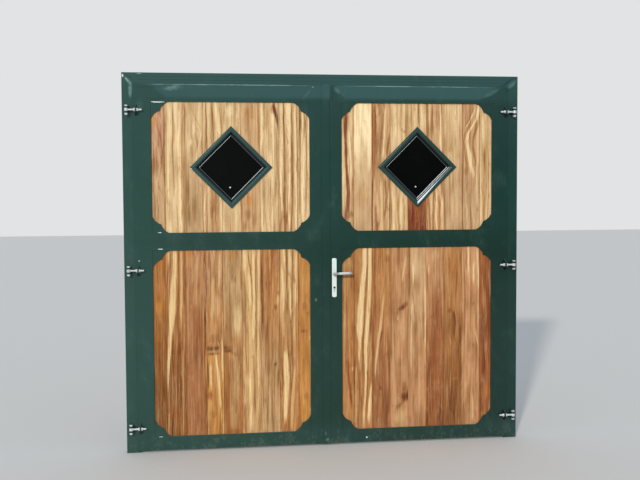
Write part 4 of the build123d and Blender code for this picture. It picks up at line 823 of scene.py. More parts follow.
            ("sap", 0.9, [(-209, 492, 11.2), (-218, 332, 19.2), (-226, 204, 16.0), (-230, 124, 12.8)]),
            ("cream", 0.7, [(-194, 1244, 9.6), (-196, 1132, 9.6), (-200, 956, 9.6)]),
            ("amber", 0.7, [(-190, 892, 10.4), (-190, 572, 10.4)]),
            ("honey", 0.5, [(-190, 372, 11.2), (-192, 172, 11.2)]),
            ("umber", 0.6, [(-248, 220, 6.4), (-244, 100, 6.4)]),
            ("umber", 0.6, [(-294, 812, 6.4), (-294, 492, 6.4)]),
        ]),
        ("honey", "honey", 0.6, [
            ("russet", 0.45, (-142, 908), (21, 35)),
            ("dark", 0.75, (-120, 859), (19, 7)),
            ("dark", 0.65, (-146, 751), (24, 6)),
            ("dark", 0.75, (-109, 767), (10, 6)),
            ("sap", 0.6, (-108, 704), (9, 16)),
            ("gold", 0.5, (-150, 188), (21, 35)),
            ("russet", 0.35, (-134, 324), (16, 26)),
            ("cream", 0.5, (-108, 236), (7, 16)),
            ("umber", 0.6, [(-177, 1244, 5.6), (-177, 108, 5.6)]),
            ("gold", 0.4, [(-162, 572, 11.2), (-164, 332, 11.2)]),
            ("amber", 0.4, (-138, 1172), (35, 96)),
        ]),
    ],
    "lower_right": [
        ("tan2", "tan2", 0.7, [
            ("straw", 0.5, [(124, 1172, 11.2), (122, 812, 11.2), (119, 572, 11.2)]),
            ("honey", 0.4, [(142, 1052, 11.2), (143, 732, 11.2)]),
            ("umber", 0.4, [(168, 1132, 8.0), (170, 892, 8.0)]),
            ("russet", 0.95, [(136, 548, 12.0), (142, 460, 13.6), (153, 372, 13.6), (166, 264, 9.6)]),
            ("orange", 0.6, (132, 300), (24, 40)),
            ("cream", 0.6, (170, 492), (8, 16)),
            ("russet", 0.45, (148, 518), (18, 24)),
            ("sap", 0.4, (148, 1180), (24, 48)),
            ("honey", 0.5, (140, 196), (35, 32)),
        ]),
        ("tan2", "tan2", 1.0, [
            ("cream", 0.98, [(257, 1276, 28.8), (256, 1172, 28.8), (244, 1052, 30.4), (232, 956, 33.6), (224, 844, 38.4), (220, 748, 35.2), (218, 652, 17.6), (216, 572, 11.2)]),
            ("umber", 0.85, [(271, 1276, 7.2), (268, 1132, 7.2), (258, 972, 7.2), (250, 812, 7.2), (241, 652, 7.2), (234, 492, 7.2)]),
            ("cream", 0.95, [(289, 1276, 19.2), (288, 1132, 20.8), (282, 972, 20.8), (276, 844, 24.0), (266, 732, 24.0), (258, 612, 17.6), (262, 492, 14.4), (258, 372, 12.8), (244, 172, 11.2)]),
            ("umber", 0.6, [(297, 812, 5.6), (284, 652, 5.6), (274, 492, 7.2), (270, 332, 7.2)]),
            ("cream", 0.9, [(294, 372, 9.6), (284, 252, 19.2), (278, 156, 17.6)]),
            ("honey", 0.5, [(196, 1132, 14.4), (194, 812, 11.2)]),
            ("sap", 0.6, [(196, 492, 9.6), (194, 188, 9.6)]),
            ("umber", 0.6, [(185, 1244, 5.6), (185, 572, 5.6)]),
            ("umber", 0.5, [(220, 492, 7.2), (218, 172, 7.2)]),
        ]),
        ("tan2", "chestnut", 0.8, [
            ("russet", 0.5, [(320, 1260, 19.2), (324, 1052, 20.8), (320, 892, 19.2), (316, 748, 16.0)]),
            ("russet", 0.6, (400, 1204), (20, 27)),
            ("sap", 0.8, [(377, 980, 11.2), (369, 876, 12.8), (360, 796, 16.0), (342, 668, 16.0), (332, 572, 12.0), (321, 468, 8.8)]),
            ("umber", 0.5, [(392, 1092, 7.2), (372, 956, 7.2)]),
            ("dark", 0.6, [(368, 732, 9.6), (356, 676, 9.6)]),
            ("honey", 0.4, [(408, 972, 11.2), (412, 572, 11.2)]),
            ("dark", 0.85, (356, 360), (10, 12)),
            ("umber", 0.75, [(345, 348, 6.4), (337, 268, 7.2), (334, 140, 7.2)]),
            ("umber", 0.75, [(367, 348, 6.4), (375, 268, 7.2), (380, 140, 7.2)]),
            ("honey", 0.5, (357, 260), (8, 48)),
            ("umber", 0.5, (326, 332), (14, 35)),
            ("umber", 0.5, [(306, 1244, 5.6), (306, 108, 5.6)]),
            ("pink", 0.4, (392, 780), (24, 48)),
            ("red", 0.3, (396, 580), (21, 16)),
        ]),
        ("rose", "rose", 0.6, [
            ("honey", 0.4, [(444, 1212, 12.8), (448, 972, 11.2)]),
            ("umber", 0.6, [(428, 1244, 6.4), (430, 572, 6.4)]),
            ("sap", 0.7, [(524, 1204, 11.2), (504, 1076, 9.6)]),
            ("straw", 0.5, (530, 1172), (8, 48)),
            ("umber", 0.9, (510, 894), (48, 19), 38),
            ("dark", 0.85, (498, 884), (27, 14), 34),
            ("umber", 0.6, (530, 908), (21, 10)),
            ("umber", 0.4, (468, 856), (32, 8)),
            ("cream", 0.6, (472, 818), (8, 11)),
            ("straw", 0.5, (500, 732), (26, 88)),
            ("umber", 0.4, (480, 524), (32, 32)),
            ("russet2", 0.8, (521, 348), (24, 48)),
            ("mahogany", 0.95, (518, 295), (34, 34), 40),
            ("dark", 0.9, (521, 295), (24, 24), 40),
            ("umber", 0.9, (486, 246), (48, 14), 48),
            ("dark", 0.85, (535, 312), (8, 27)),
            ("umber", 0.5, (468, 236), (24, 8)),
            ("straw", 0.8, (492, 164), (46, 59)),
            ("umber", 0.4, (516, 348), (24, 16)),
        ]),
        ("olive", "rose", 0.7, [
            ("cream", 0.9, [(574, 1156, 12.0), (576, 1060, 9.6)]),
            ("cream", 0.7, [(566, 892, 8.0), (561, 732, 8.0), (561, 492, 6.4)]),
            ("cream", 0.9, [(657, 988, 8.0), (657, 812, 8.0), (655, 652, 7.2)]),
            ("umber", 0.8, [(550, 1268, 10.4), (551, 972, 7.2)]),
            ("umber", 0.6, [(572, 972, 7.2), (586, 836, 7.2)]),
            ("dark", 0.6, (655, 492), (6, 11)),
            ("pale", 0.35, (604, 1132), (27, 96)),
            ("honey", 0.4, [(636, 612, 14.4), (636, 332, 14.4)]),
            ("umber", 0.4, [(553, 492, 6.4), (553, 124, 6.4)]),
        ]),
        ("rose", "russet2", 0.7, [
            ("cream", 0.8, (680, 1132), (7, 35)),
            ("umber", 0.7, [(670, 1100, 8.8), (671, 1012, 8.8)]),
            ("straw", 0.45, (724, 1228), (32, 35)),
            ("dark", 0.6, (748, 916), (6, 10)),
            ("dark", 0.5, (758, 492), (7, 10)),
            ("honey", 0.5, [(678, 412, 9.6), (682, 132, 11.2)]),
            ("pink", 0.5, (742, 364), (35, 48)),
            ("dark", 0.7, (700, 370), (6, 8)),
            ("dark", 0.5, (777, 156), (6, 48)),
            ("russet", 0.8, (732, 796), (43, 264)),
            ("honey", 0.5, [(674, 956, 8.0), (674, 572, 8.0)]),
            ("russet", 0.5, (716, 524), (40, 48)),
        ]),
        ("tan2", "umber2", 0.7, [
            ("honey", 0.5, [(798, 1260, 11.2), (800, 1052, 9.6)]),
            ("honey", 0.5, [(880, 1260, 12.8), (880, 1132, 11.2)]),
            ("dark", 0.7, [(848, 836, 17.6), (854, 780, 20.8), (848, 708, 16.0)]),
            ("dark", 0.5, (822, 860), (16, 18)),
            ("tan2", 0.6, (848, 862), (10, 10)),
            ("honey", 0.5, [(816, 684, 11.2), (812, 572, 9.6)]),
            ("dark", 0.55, [(892, 740, 11.2), (892, 644, 9.6)]),
            ("honey", 0.6, (856, 404), (24, 10)),
            ("dark", 0.5, [(852, 292, 9.6), (848, 156, 9.6)]),
            ("dark", 0.4, [(824, 268, 8.0), (824, 188, 8.0)]),
            ("amber", 0.5, (836, 1148), (40, 96)),
            ("umber", 0.5, [(786, 1244, 5.6), (786, 108, 5.6)]),
        ]),
        ("rose", "rose", 0.9, [
            ("cream", 0.85, [(946, 1276, 9.6), (946, 1124, 8.0)]),
            ("russet", 0.75, [(932, 1252, 8.8), (932, 1156, 8.8)]),
            ("cream", 0.9, [(982, 1156, 10.4), (982, 1060, 9.6)]),
            ("cream", 0.85, [(1004, 1252, 8.0), (1012, 1116, 11.2), (1015, 1028, 8.8)]),
            ("umber", 0.65, [(920, 1092, 6.4), (921, 732, 6.4)]),
            ("dark", 0.75, (982, 900), (6, 10)),
            ("umber", 0.85, (980, 626), (7, 16)),
            ("cream", 0.6, [(996, 708, 9.6), (1010, 644, 8.0)]),
            ("pink2", 0.6, (972, 548), (32, 51)),
            ("sap", 0.7, [(978, 260, 11.2), (978, 148, 12.0)]),
            ("umber", 0.6, [(914, 372, 8.0), (912, 100, 8.0)]),
            ("umber", 0.5, [(964, 1052, 6.4), (962, 732, 6.4)]),
            ("sap", 0.5, [(1016, 876, 8.0), (1016, 572, 8.0)]),
        ]),
        ("russet2", "russet2", 0.7, [
            ("honey", 0.7, [(1042, 1068, 8.0), (1052, 876, 7.2)]),
            ("mahogany", 0.9, [(1036, 748, 14.4), (1044, 612, 22.4), (1054, 492, 22.4), (1049, 404, 14.4)]),
            ("mahogany", 0.4, [(1081, 1052, 12.8), (1082, 572, 12.8)]),
            ("orange", 0.7, (1073, 316), (21, 58)),
            ("dark", 0.75, [(1034, 348, 8.8), (1034, 156, 8.8)]),
            ("honey", 0.5, [(1034, 1244, 11.2), (1036, 1180, 9.6)]),
            ("honey", 0.5, (1048, 164), (19, 24)),
            ("pink", 0.4, (1052, 940), (21, 64)),
        ]),
    ],
}


def smooth(t, a, b):
    t = np.clip((t - a) / (b - a), 0, 1)
    return t * t * (3 - 2 * t)


def chance(i, j, seed):
    """A value in -1..1 for each lattice point."""
    h = (i.astype(np.int64) * 374761393 + j.astype(np.int64) * 668265263 + seed * 974634777) & 0xFFFFFFFF
    h = ((h ^ (h >> 13)) * 1274126177) & 0xFFFFFFFF
    h = h ^ (h >> 16)
    return (h & 0xFFFF) / 32767.5 - 1


def value_noise(x, z, seed):
    i, j = np.floor(x), np.floor(z)
    fx, fz = x - i, z - j
    fx, fz = fx * fx * (3 - 2 * fx), fz * fz * (3 - 2 * fz)
    a = chance(i, j, seed) * (1 - fx) + chance(i + 1, j, seed) * fx
    b = chance(i, j + 1, seed) * (1 - fx) + chance(i + 1, j + 1, seed) * fx
    return a * (1 - fz) + b * fz


def fractal(x, z, seed, octaves=3):
    total, size, sum_ = 0.0, 1.0, 0.0
    for k in range(octaves):
        total = total + size * value_noise(x * 2**k, z * 2**k, seed + 17 * k)
        sum_ += size
        size *= 0.55
    return total / sum_


def streak(x, z, line):
    """How much of a streak covers each point: soft edged, fading out past its ends."""
    pts = sorted(line, key=lambda p: p[1])
    zs = [p[1] for p in pts]
    cx, w = np.interp(z, zs, [p[0] for p in pts]), np.interp(z, zs, [p[2] for p in pts])
    reach = 45 + 0.06 * (zs[-1] - zs[0])
    ends = smooth(z, zs[0] - reach, zs[0] + 15) * smooth(-z, -zs[-1] - reach, -zs[-1] + 15)
    w = w * (0.55 + 0.45 * ends)
    return (1 - smooth(np.abs(x - cx) / w, 0.30, 0.78)) * ends


def patch(x, z, centre, half, lean=0.0):
    dx, dz = x - centre[0], z - centre[1]
    c, s = math.cos(math.radians(lean)), math.sin(math.radians(lean))
    d = np.hypot((dx * c + dz * s) / half[0], (dz * c - dx * s) / half[1])
    return 1 - smooth(d, 0.35, 1.25)


def timber(x, z, side, board, seed, middle):
    """Colour (linear) and grain coordinate of points on a board: x, z in mm, side 0 front to 1 back."""
    head, foot, lively, marks = board
    lo_z, hi_z = z.min(), z.max()
    # the grain wanders, more on a lively board, and bends round a knot
    u = x + lively * (9.0 * value_noise(x / 150, z / 430, seed) + 4.5 * value_noise(x / 70, z / 190, seed + 3) + 1.3 * value_noise(x / 36, z / 70, seed + 5))
    for mark in marks:
        if mark[0] == "knot" and len(mark) > 3:
            (cx, cz), (rx, rz) = mark[2], mark[3]
            u = u - (x - cx) * 0.75 * np.exp(-(((x - cx) / (2.2 * rx)) ** 2) - ((z - cz) / (3.2 * rz)) ** 2)
    t = smooth(z, lo_z + 0.2 * (hi_z - lo_z), lo_z + 0.85 * (hi_z - lo_z))[:, None]
    base = np.array(TONES[foot]) * (1 - t) + np.array(TONES[head]) * t
    # long soft streaks of heart and sap tone
    a = fractal(u / 19, z / 520, seed + 11)
    b = fractal(u / 7.5, z / 300, seed + 23, 2)
    c = fractal(u / 30, z / 150, seed + 31, 2)
    shade = lively * (0.42 * a + 0.26 * b) + 0.42 * c
    light, deep = np.array((1.13, 1.16, 1.22)), np.array((0.80, 0.72, 0.60))
    up, down = np.clip(shade, 0, 1)[:, None], np.clip(-shade, 0, 1)[:, None]
    base = base * (1 + (light - 1) * up * 1.5) * (1 + (deep - 1) * down * 1.5)
    # the marks of this board, broken up along the grain
    fine = value_noise(u / 3.2, z / 150, seed + 41)
    wobble = 1.6 * value_noise(x / 30, z / 45, seed + 43) + 1.3 * fine
    if side == 0:
        for mark in marks:
            name, strength = mark[0], mark[1]
            if isinstance(mark[2], list):
                w = streak(x + wobble, z, mark[2])
                w = w * (0.88 + 0.12 * fine)
            else:
                w = patch(x + 2 * wobble, z, *mark[2:])
                w = w * (0.78 + 0.22 * fine)
            w = np.clip(w * strength, 0, 1)[:, None]
            base = base * (1 - w) + np.array(TONES[name]) * w
    else:
        base = base * np.array((0.97, 0.96, 0.95))
    base = np.array(middle) + (base - np.array(middle)) * (1.24, 1.22, 1.18)
    base = np.clip(base, 22, 252)
    linear = np.where(base <= 10.3, base / 255 / 12.92, ((base / 255 + 0.055) / 1.055) ** 2.4)
    return linear, u


def board_mesh(a, b, first, last, z0, z1, seed, window):
    """One board as a closed bmesh in mm: rounded arrises, tongue and groove."""
    a, b = a + PLAY / 2, b - PLAY / 2
    mid = (FRONT + BACK) / 2
    arc = [(1 - math.cos(t), 1 - math.sin(t)) for t in (math.radians(d) for d in (0, 30, 60, 90))]
    ring = []
    left_v, right_v = (0 if first else VEE), (0 if last else VEE)
    for cx, cy in arc:
        ring.append((a + left_v * cx, FRONT + left_v * cy))
    count = max(3, round((b - a) / 3.2))
    for k in range(1, count):
        ring.append((a + left_v + (b - a - left_v - right_v) * k / count, FRONT))
    for cx, cy in reversed(arc):
        ring.append((b - right_v * cx, FRONT + right_v * cy))
    if not last:
        ring += [(b, mid - 4), (b + 5.7, mid - 4), (b + 6.5, mid - 3.2), (b + 6.5, mid + 3.2), (b + 5.7, mid + 4), (b, mid + 4)]
    for cx, cy in arc:
        ring.append((b - right_v * cx, BACK - right_v * cy))
    back_count = max(2, round((b - a) / 9))
    for k in range(1, back_count):
        ring.append((b - right_v - (b - a - left_v - right_v) * k / back_count, BACK))
    for cx, cy in reversed(arc):
        ring.append((a + left_v * cx, BACK - left_v * cy))
    if not first:
        ring += [(a, mid + 4.3), (a + 7.2, mid + 4.3), (a + 7.2, mid - 4.3), (a, mid - 4.3)]
    clean = []
    for p in ring:
        if not clean or math.dist(p, clean[-1]) > 0.02:
            clean.append(p)
    if math.dist(clean[0], clean[-1]) < 0.02:
        clean.pop()
    rows = round((z1 - z0) / 13)
    bm = bmesh.new()
    grid = []
    for r in range(rows + 1):
        z = z0 + (z1 - z0) * r / rows
        grid.append([bm.verts.new((px, py, z)) for px, py in clean])
    n = len(clean)
    for r in range(rows):
        for k in range(n):
            bm.faces.new((grid[r][k], grid[r][(k + 1) % n], grid[r + 1][(k + 1) % n], grid[r + 1][k]))
    bm.faces.new(list(reversed(grid[0])))
    bm.faces.new(grid[-1])
    bmesh.ops.recalc_face_normals(bm, faces=bm.faces)
    return bm


def cut_window(obj, cx, cz, square):
    """Takes the diamond opening out of a board."""
    me = bpy.data.meshes.new("cutter")
    h = square / math.sqrt(2)
    pts = [(cx, cz + h), (cx - h, cz), (cx, cz - h), (cx + h, cz)]
    verts = [(px * MM, (FRONT - 5) * MM, pz * MM) for px, pz in pts] + [(px * MM, (BACK + 5) * MM, pz * MM) for px, pz in pts]
    me.from_pydata(verts, [], [(0, 1, 2, 3), (7, 6, 5, 4)] + [(k, k + 4, (k + 1) % 4 + 4, (k + 1) % 4) for k in range(4)])
    tool = bpy.data.objects.new("cutter", me)
    bpy.context.scene.collection.objects.link(tool)
    bm = bmesh.new()
    bm.from_mesh(me)
    bmesh.ops.recalc_face_normals(bm, faces=bm.faces)
    bm.to_mesh(me)
    bm.free()
    mod = obj.modifiers.new("window", "BOOLEAN")
    mod.operation, mod.solver, mod.object = "DIFFERENCE", "EXACT", tool
    got = bpy.data.meshes.new_from_object(obj.evaluated_get(bpy.context.evaluated_depsgraph_get()))
    obj.modifiers.clear()
    obj.data = got
    bpy.data.objects.remove(tool)


# how much deeper the timber of each panel is in the shade of its place
DEPTH = {"upper_left": (0.99, 1.01, 1.04), "upper_right": (1.02, 1.04, 1.08), "lower_left": (0.875, 0.835, 0.755), "lower_right": (0.90, 0.885, 0.85)}

# the middle tone that the boards of a row vary about
MIDDLE = {"upper": (206, 166, 118), "lower": (184, 134, 86)}


def panel(name, hand, z0, z1, seed):
    """The nine boards of one panel as one mesh, with their colour, grain and seed as attributes."""
    level, side = name.split("_")
    edges = [-513.25] + [PITCH * (k - 3.5) for k in range(8)] + [513.25]
    edges = [hand * PANEL_CX + e for e in edges]
    co, faces, tone, grain, seeds, back, grainy = [], [], [], [], [], [], []
    for k in range(9):
        a, b = edges[k], edges[k + 1]
        bm = board_mesh(a, b, k == 0, k == 8, z0, z1, seed + 100 * k, None)
        me = bpy.data.meshes.new("board")
        bm.to_mesh(me)
        bm.free()
        me.transform(Matrix.Scale(MM, 4))
        obj = bpy.data.objects.new("board", me)
        bpy.context.scene.collection.objects.link(obj)
        if name.startswith("upper") and b > hand * PANEL_CX - 233.4 and a < hand * PANEL_CX + 233.4:
            cut_window(obj, hand * PANEL_CX, 1800.75, 330)
        me = obj.data
        n = len(me.vertices)
        p = np.empty(n * 3, np.float32)
        me.vertices.foreach_get("co", p)
        p = p.reshape(-1, 3).astype(float) / MM
        start = len(co) and sum(len(c) for c in co)
        faces += [[start + v for v in f.vertices] for f in me.polygons]
        board = FIGURE[name][k]
        x, y, z = p.T
        front, rear = timber(x, z, 0, board, seed + 100 * k, MIDDLE[level]), timber(x, z, 1, board, seed + 100 * k + 57, MIDDLE[level])
        is_back = y > -1
        rgb = np.where(is_back[:, None], rear[0], front[0])
        u = np.where(is_back, rear[1], front[1])
        # darker, rounder edges, and a face worn a little between the hard streaks
        edge = np.minimum(x - (a + PLAY / 2), (b - PLAY / 2) - x)
        worn = smooth(edge, 0.2, 5.0)[:, None]
        rgb = rgb * (np.array((0.80, 0.70, 0.58)) * (1 - worn) + worn) * np.array(DEPTH[name])
        relief = 0.22 + 0.22 * fractal(u / 7, z / 260, seed + 100 * k + 71, 2)
        on_face = (np.abs(y - FRONT) < 0.01) & (edge > 2.4)
        p[:, 1] = np.where(on_face, y + np.clip(relief, 0, 0.6), y)
        co.append(p)
        tone.append(rgb)
        grain.append(u * MM)
        seeds.append(np.full(n, (seed + 100 * k) % 97 * 3.7))
        back.append(np.where(is_back, 1.0, 0.0))
        grainy.append(np.full(n, 0.30 + 0.55 * board[2]))
        bpy.data.objects.remove(obj)
    co = np.concatenate(co)
    me = bpy.data.meshes.new(name + "_timber")
    me.from_pydata([tuple(v) for v in (co * MM).tolist()], [], faces)
    colour = me.attributes.new("tone", "FLOAT_COLOR", "POINT")
    rgba = np.concatenate([np.concatenate(tone), np.ones((len(co), 1))], 1).astype(np.float32)
    colour.data.foreach_set("color", rgba.ravel())
    for key, values in (("grain", grain), ("seed", seeds), ("face", back), ("grainy", grainy)):
        layer = me.attributes.new(key, "FLOAT", "POINT")
        layer.data.foreach_set("value", np.concatenate(values).astype(np.float32))
    me.polygons.foreach_set("use_smooth", [True] * len(me.polygons))
    me.set_sharp_from_angle(angle=math.radians(35))
    me.materials.append(WOOD)
    obj = bpy.data.objects.new(name + "_timber", me)
    bpy.context.scene.collection.objects.link(obj)
    body = "left_leaf" if hand < 0 else "right_leaf"
    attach(obj, body)
    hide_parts(f"{side}_{level}_boards")
    return obj


for index, (name, (hand, z0, z1)) in enumerate(PANELS.items()):
    panel(name, hand, z0, z1, 7 + 13 * index)

# ---------------------------------------------------------------- windows

WIN_Z = 1800.75


def add(name, verts, faces, material, body, smooth_angle=None, swap=()):
    """A piece of the builder's own from points in mm, on a body."""
    me = bpy.data.meshes.new(name)
    me.from_pydata([(px * MM, py * MM, pz * MM) for px, py, pz in verts], [], faces)
    bm = bmesh.new()
    bm.from_mesh(me)
    bmesh.ops.recalc_face_normals(bm, faces=bm.faces)
    bm.to_mesh(me)
    bm.free()
    if smooth_angle:
        me.polygons.foreach_set("use_smooth", [True] * len(me.polygons))
        me.set_sharp_from_angle(angle=math.radians(smooth_angle))
    me.materials.append(material)
    obj = bpy.data.objects.new(name, me)
    bpy.context.scene.collection.objects.link(obj)
    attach(obj, body)
    if swap:
        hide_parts(*swap)
    return obj


def square_side(section, cx, cz, k):
    """One mitred side of square_ring(): 0 upper left, 1 lower left, 2 lower right, 3 upper right."""
    verts, n = [], len(section)
    for turn in (k, k + 1):
        a = math.radians(90 * turn + 90)
        verts += [(cx + r * math.sqrt(2) * math.cos(a), y, cz + r * math.sqrt(2) * math.sin(a)) for r, y in section]
    faces = [(i, (i + 1) % n, n + (i + 1) % n, n + i) for i in range(n)]
    return verts, faces + [tuple(range(n)), tuple(reversed(range(n, 2 * n)))]


def square_ring(section, cx, cz):
    """Sweeps a closed section of (half size, y) points round a diamond with mitred corners."""
    verts, faces = [], []
    n = len(section)
    for k in range(4):
        a = math.radians(90 * k + 90)
        for r, y in section:
            # the corner of a square of half size r, stood on its point
            d = r * math.sqrt(2)
            verts.append((cx + d * math.cos(a), y, cz + d * math.sin(a)))
    for k in range(4):
        for i in range(n):
            j = (i + 1) % n
            faces.append((k * n + i, k * n + j, (k + 1) % 4 * n + j, (k + 1) % 4 * n + i))
    return verts, faces


for hand, side, drop in ((-1, "left", 6.4), (1, "right", 3.1)):
    cx = hand * PANEL_CX
    body = f"{side}_leaf"
    section = [
        (184.0, -15.0), (184.0, -22.0), (183.6, -23.2), (182.6, -23.9), (179.2, -24.1), (178.4, -24.8), (177.6, -26.0), (176.2, -26.8), (174.6, -27.0),
        (164.2, -27.0), (163.2, -26.8), (162.4, -26.4), (155.0, -26.4 + drop), (154.3, -25.8 + drop), (154.0, -25.0 + drop), (154.0, -7.0), (163.0, -7.0), (163.0, -15.0),
    ]
    verts, faces = square_ring(section, cx, WIN_Z)
    add(f"{side}_window_bead", verts, faces, RIGHT_TRIM if hand > 0 else LEFT_TRIM, body, 24, (f"{side}_window_trim_outside",))
    # the aluminium spacer as it shows through the edge of the glass; its sides are painted light and shade: lighter on
    # the upper left and lower right, darker on the other two, lightest at the lower right of the right window
    for k, edge in enumerate(("upper_left", "lower_left", "lower_right", "upper_right")):
        bright = k in (0, 2)
        width = 3.4
        verts, faces = square_side([(144.4, -3.0), (144.4, -3.25), (144.4 - width, -3.25), (144.4 - width, -3.0)], cx, WIN_Z, k)
        add(f"{side}_spacer_band_{edge}", verts, faces, (SPACER_PAINTED_HIGHLIGHT if k == 2 and hand > 0 else SPACER) if bright else SPACER_PAINTED_SHADE, body)
    if hand > 0:
        # a light line on the gasket's lip along one side: painted highlight
        verts, faces = square_side([(153.2, -7.4), (153.2, -7.9), (150.2, -7.9), (150.2, -7.4)], cx, WIN_Z, 2)
        add("right_lip_painted_highlight", verts, faces, SPACER_PAINTED_HIGHLIGHT, body)
    # a small pale spot low on the glass
    count, r = 20, 5.2
    ring = [(cx - 8 + r * math.cos(2 * math.pi * k / count), WIN_Z - 127 + r * math.sin(2 * math.pi * k / count)) for k in range(count)]
    verts = [(px, -3.0, pz) for px, pz in ring] + [(px, -3.3, pz) for px, pz in ring]
    faces = [tuple(range(count, 2 * count)), tuple(reversed(range(count)))] + [(k, (k + 1) % count, count + (k + 1) % count, count + k) for k in range(count)]
    add(f"{side}_glass_spot", verts, faces, SPACER, body)

# ---------------------------------------------------------------- weld marks, scuffs, small repairs and painted highlights

# Pale metal colour for scuffs and chips, and for the painted highlights on the weld runs, the left trim's corner and
# the cover strip's cap.
glint_scuff = Mat("scuff_and_glint_finish")
glint_scuff.set(
    Base_Color=glint_scuff.mix(glint_scuff.step(glint_scuff.noise(glint_scuff.xyz, 140, 4, 0.7), 0.4, 0.66), lin((226, 238, 232)), lin((96, 124, 114))),
    Roughness=0.45,
)
SCUFF_AND_GLINT = glint_scuff.m


# Light green for a chip at the meeting line and for the painted highlight along the leaves' top edges.
edge_finish = Mat("edge_sheen_and_wear_finish")
edge_finish.set(
    Base_Color=edge_finish.mix(edge_finish.step(edge_finish.noise(edge_finish.scaled(edge_finish.xyz, 1, 1, 6), 9, 4, 0.6), 0.36, 0.62), lin((64, 98, 92)), lin((112, 146, 138))),
    Roughness=0.3,
)
EDGE_SHEEN_AND_WEAR = edge_finish.m
seam_finish = Mat("open_seam_finish")
seam_finish.set(
    Base_Color=seam_finish.mix(seam_finish.noise(seam_finish.xyz, 90, 3), lin((12, 28, 25)), lin((24, 46, 42))),
    Roughness=0.5,
)
SEAM = seam_finish.m


def bead_run(name, points, width, height, material, body, y=-25.0, grow=0.25):
    """A low irregular bead, such as a weld run or a chipped ridge, along points (x, z) on a face."""
    pts, verts, faces = [], [], []
    for (x0, z0), (x1, z1) in zip(points, points[1:]):
        steps = max(2, int(math.hypot(x1 - x0, z1 - z0) / 4))
        pts += [(x0 + (x1 - x0) * k / steps, z0 + (z1 - z0) * k / steps) for k in range(steps)]
    pts.append(points[-1])
    n = len(pts)
    for k, (px, pz) in enumerate(pts):
        qx, qz = pts[min(k + 1, n - 1)]
        ox, oz = pts[max(k - 1, 0)]
        length = math.hypot(qx - ox, qz - oz)
        ax, az = -(qz - oz) / length, (qx - ox) / length
        taper = min(1.0, 0.25 + 3.0 * min(k, n - 1 - k) / n)
        w = 0.5 * width * taper * (1 + grow * math.sin(2.1 * k) + 0.5 * grow * math.sin(5.3 * k + 1))
        h = height * taper * (1 + 0.3 * math.sin(1.7 * k))
        for t_ in (-1.0, -0.6, 0.0, 0.6, 1.0):
            verts.append((px + ax * w * t_, y - h * (1 - t_ * t_), pz + az * w * t_))
        verts.append((px, y + 0.4, pz))
    for k in range(n - 1):
        for i in range(6):
            j = (i + 1) % 6
            faces.append((k * 6 + i, k * 6 + j, (k + 1) * 6 + j, (k + 1) * 6 + i))
    faces.append(tuple(range(6)))
    faces.append(tuple(reversed(range((n - 1) * 6, n * 6))))
    return add(name, verts, faces, material, body, 50)


# the pale weld runs by the corner plates are painted highlights where the seams catch the sun
bead_run("weld_top_left", [(-1098, 2209), (-1060, 2207), (-1012, 2208)], 7.5, 1.2, SCUFF_AND_GLINT, "left_leaf", -24.6)
bead_run("weld_top_left_ridge", [(-1112, 2226), (-1050, 2229), (-990, 2228)], 5.0, 1.4, LEAF_PAINT, "left_leaf")
bead_run("weld_mid_left_a", [(-1064, 1394), (-1040, 1393)], 5.0, 0.8, SCUFF_AND_GLINT, "left_leaf")
bead_run("weld_mid_left_b", [(-1066, 1290), (-1032, 1289)], 5.0, 0.8, SCUFF_AND_GLINT, "left_leaf")
bead_run("weld_low_left", [(-1074, 97), (-1050, 97)], 4.5, 0.7, SCUFF_AND_GLINT, "left_leaf", -24.4)
bead_run("weld_top_meeting", [(-158, 2205), (-128, 2203), (-102, 2205)], 4.5, 0.8, LEAF_PAINT, "left_leaf", -24.8)
bead_run("chip_low_right", [(257, 41), (269, 41)], 9.0, 0.5, SCUFF_AND_GLINT, "right_leaf")
bead_run("chip_top_meeting", [(-86, 2309), (-74, 2307)], 6.0, 0.5, EDGE_SHEEN_AND_WEAR, "left_leaf")
# the left window trim's outer corner: painted highlight
bead_run("left_trim_corner_painted_highlight", [(-861, 1797), (-853, 1795), (-846, 1789)], 5.0, 0.6, SCUFF_AND_GLINT, "left_leaf", -24.0)
bead_run("chip_mid_left", [(-1188, 1218), (-1176, 1217)], 4.0, 0.5, SCUFF_AND_GLINT, "left_leaf")
bead_run("mitre_left", [(-1266, 2381), (-1228, 2343)], 3.2, 0.3, SEAM, "frame", -17.0, 0.1)
bead_run("mitre_right", [(1268, 2383), (1216, 2331)], 3.6, 0.3, SEAM, "frame", -17.0, 0.1)
# light lines along the leaves' rounded top edges: painted highlight
bead_run("top_edge_left", [(-1206, 2316.6), (-700, 2317), (-30, 2316.8)], 6.2, 0.5, EDGE_SHEEN_AND_WEAR, "left_leaf", -24.8, 0.12)
bead_run("top_edge_right", [(30, 2316.8), (600, 2317), (1150, 2316.6)], 5.6, 0.5, EDGE_SHEEN_AND_WEAR, "right_leaf", -24.8, 0.12)
# the cover strip's cap: painted highlight
bead_run("strip_cap_painted_highlight", [(-23, 2322.6), (0, 2322.8), (23, 2322.6)], 4.6, 0.0, SCUFF_AND_GLINT, "right_leaf", -30.7, 0.1)

# ---------------------------------------------------------------- floor, light, camera

floor_mesh = bpy.data.meshes.new("studio_floor")
floor_mesh.from_pydata([(-30, -16, 0), (30, -16, 0), (30, 30, 0), (-30, 30, 0)], [], [(0, 1, 2, 3)])
floor = bpy.data.objects.new("studio_floor", floor_mesh)
bpy.context.scene.collection.objects.link(floor)
ground = Mat("studio_floor_finish")
ground.set(Base_Color=lin((212, 207, 199)), Roughness=0.85)
floor_mesh.materials.append(ground.m)

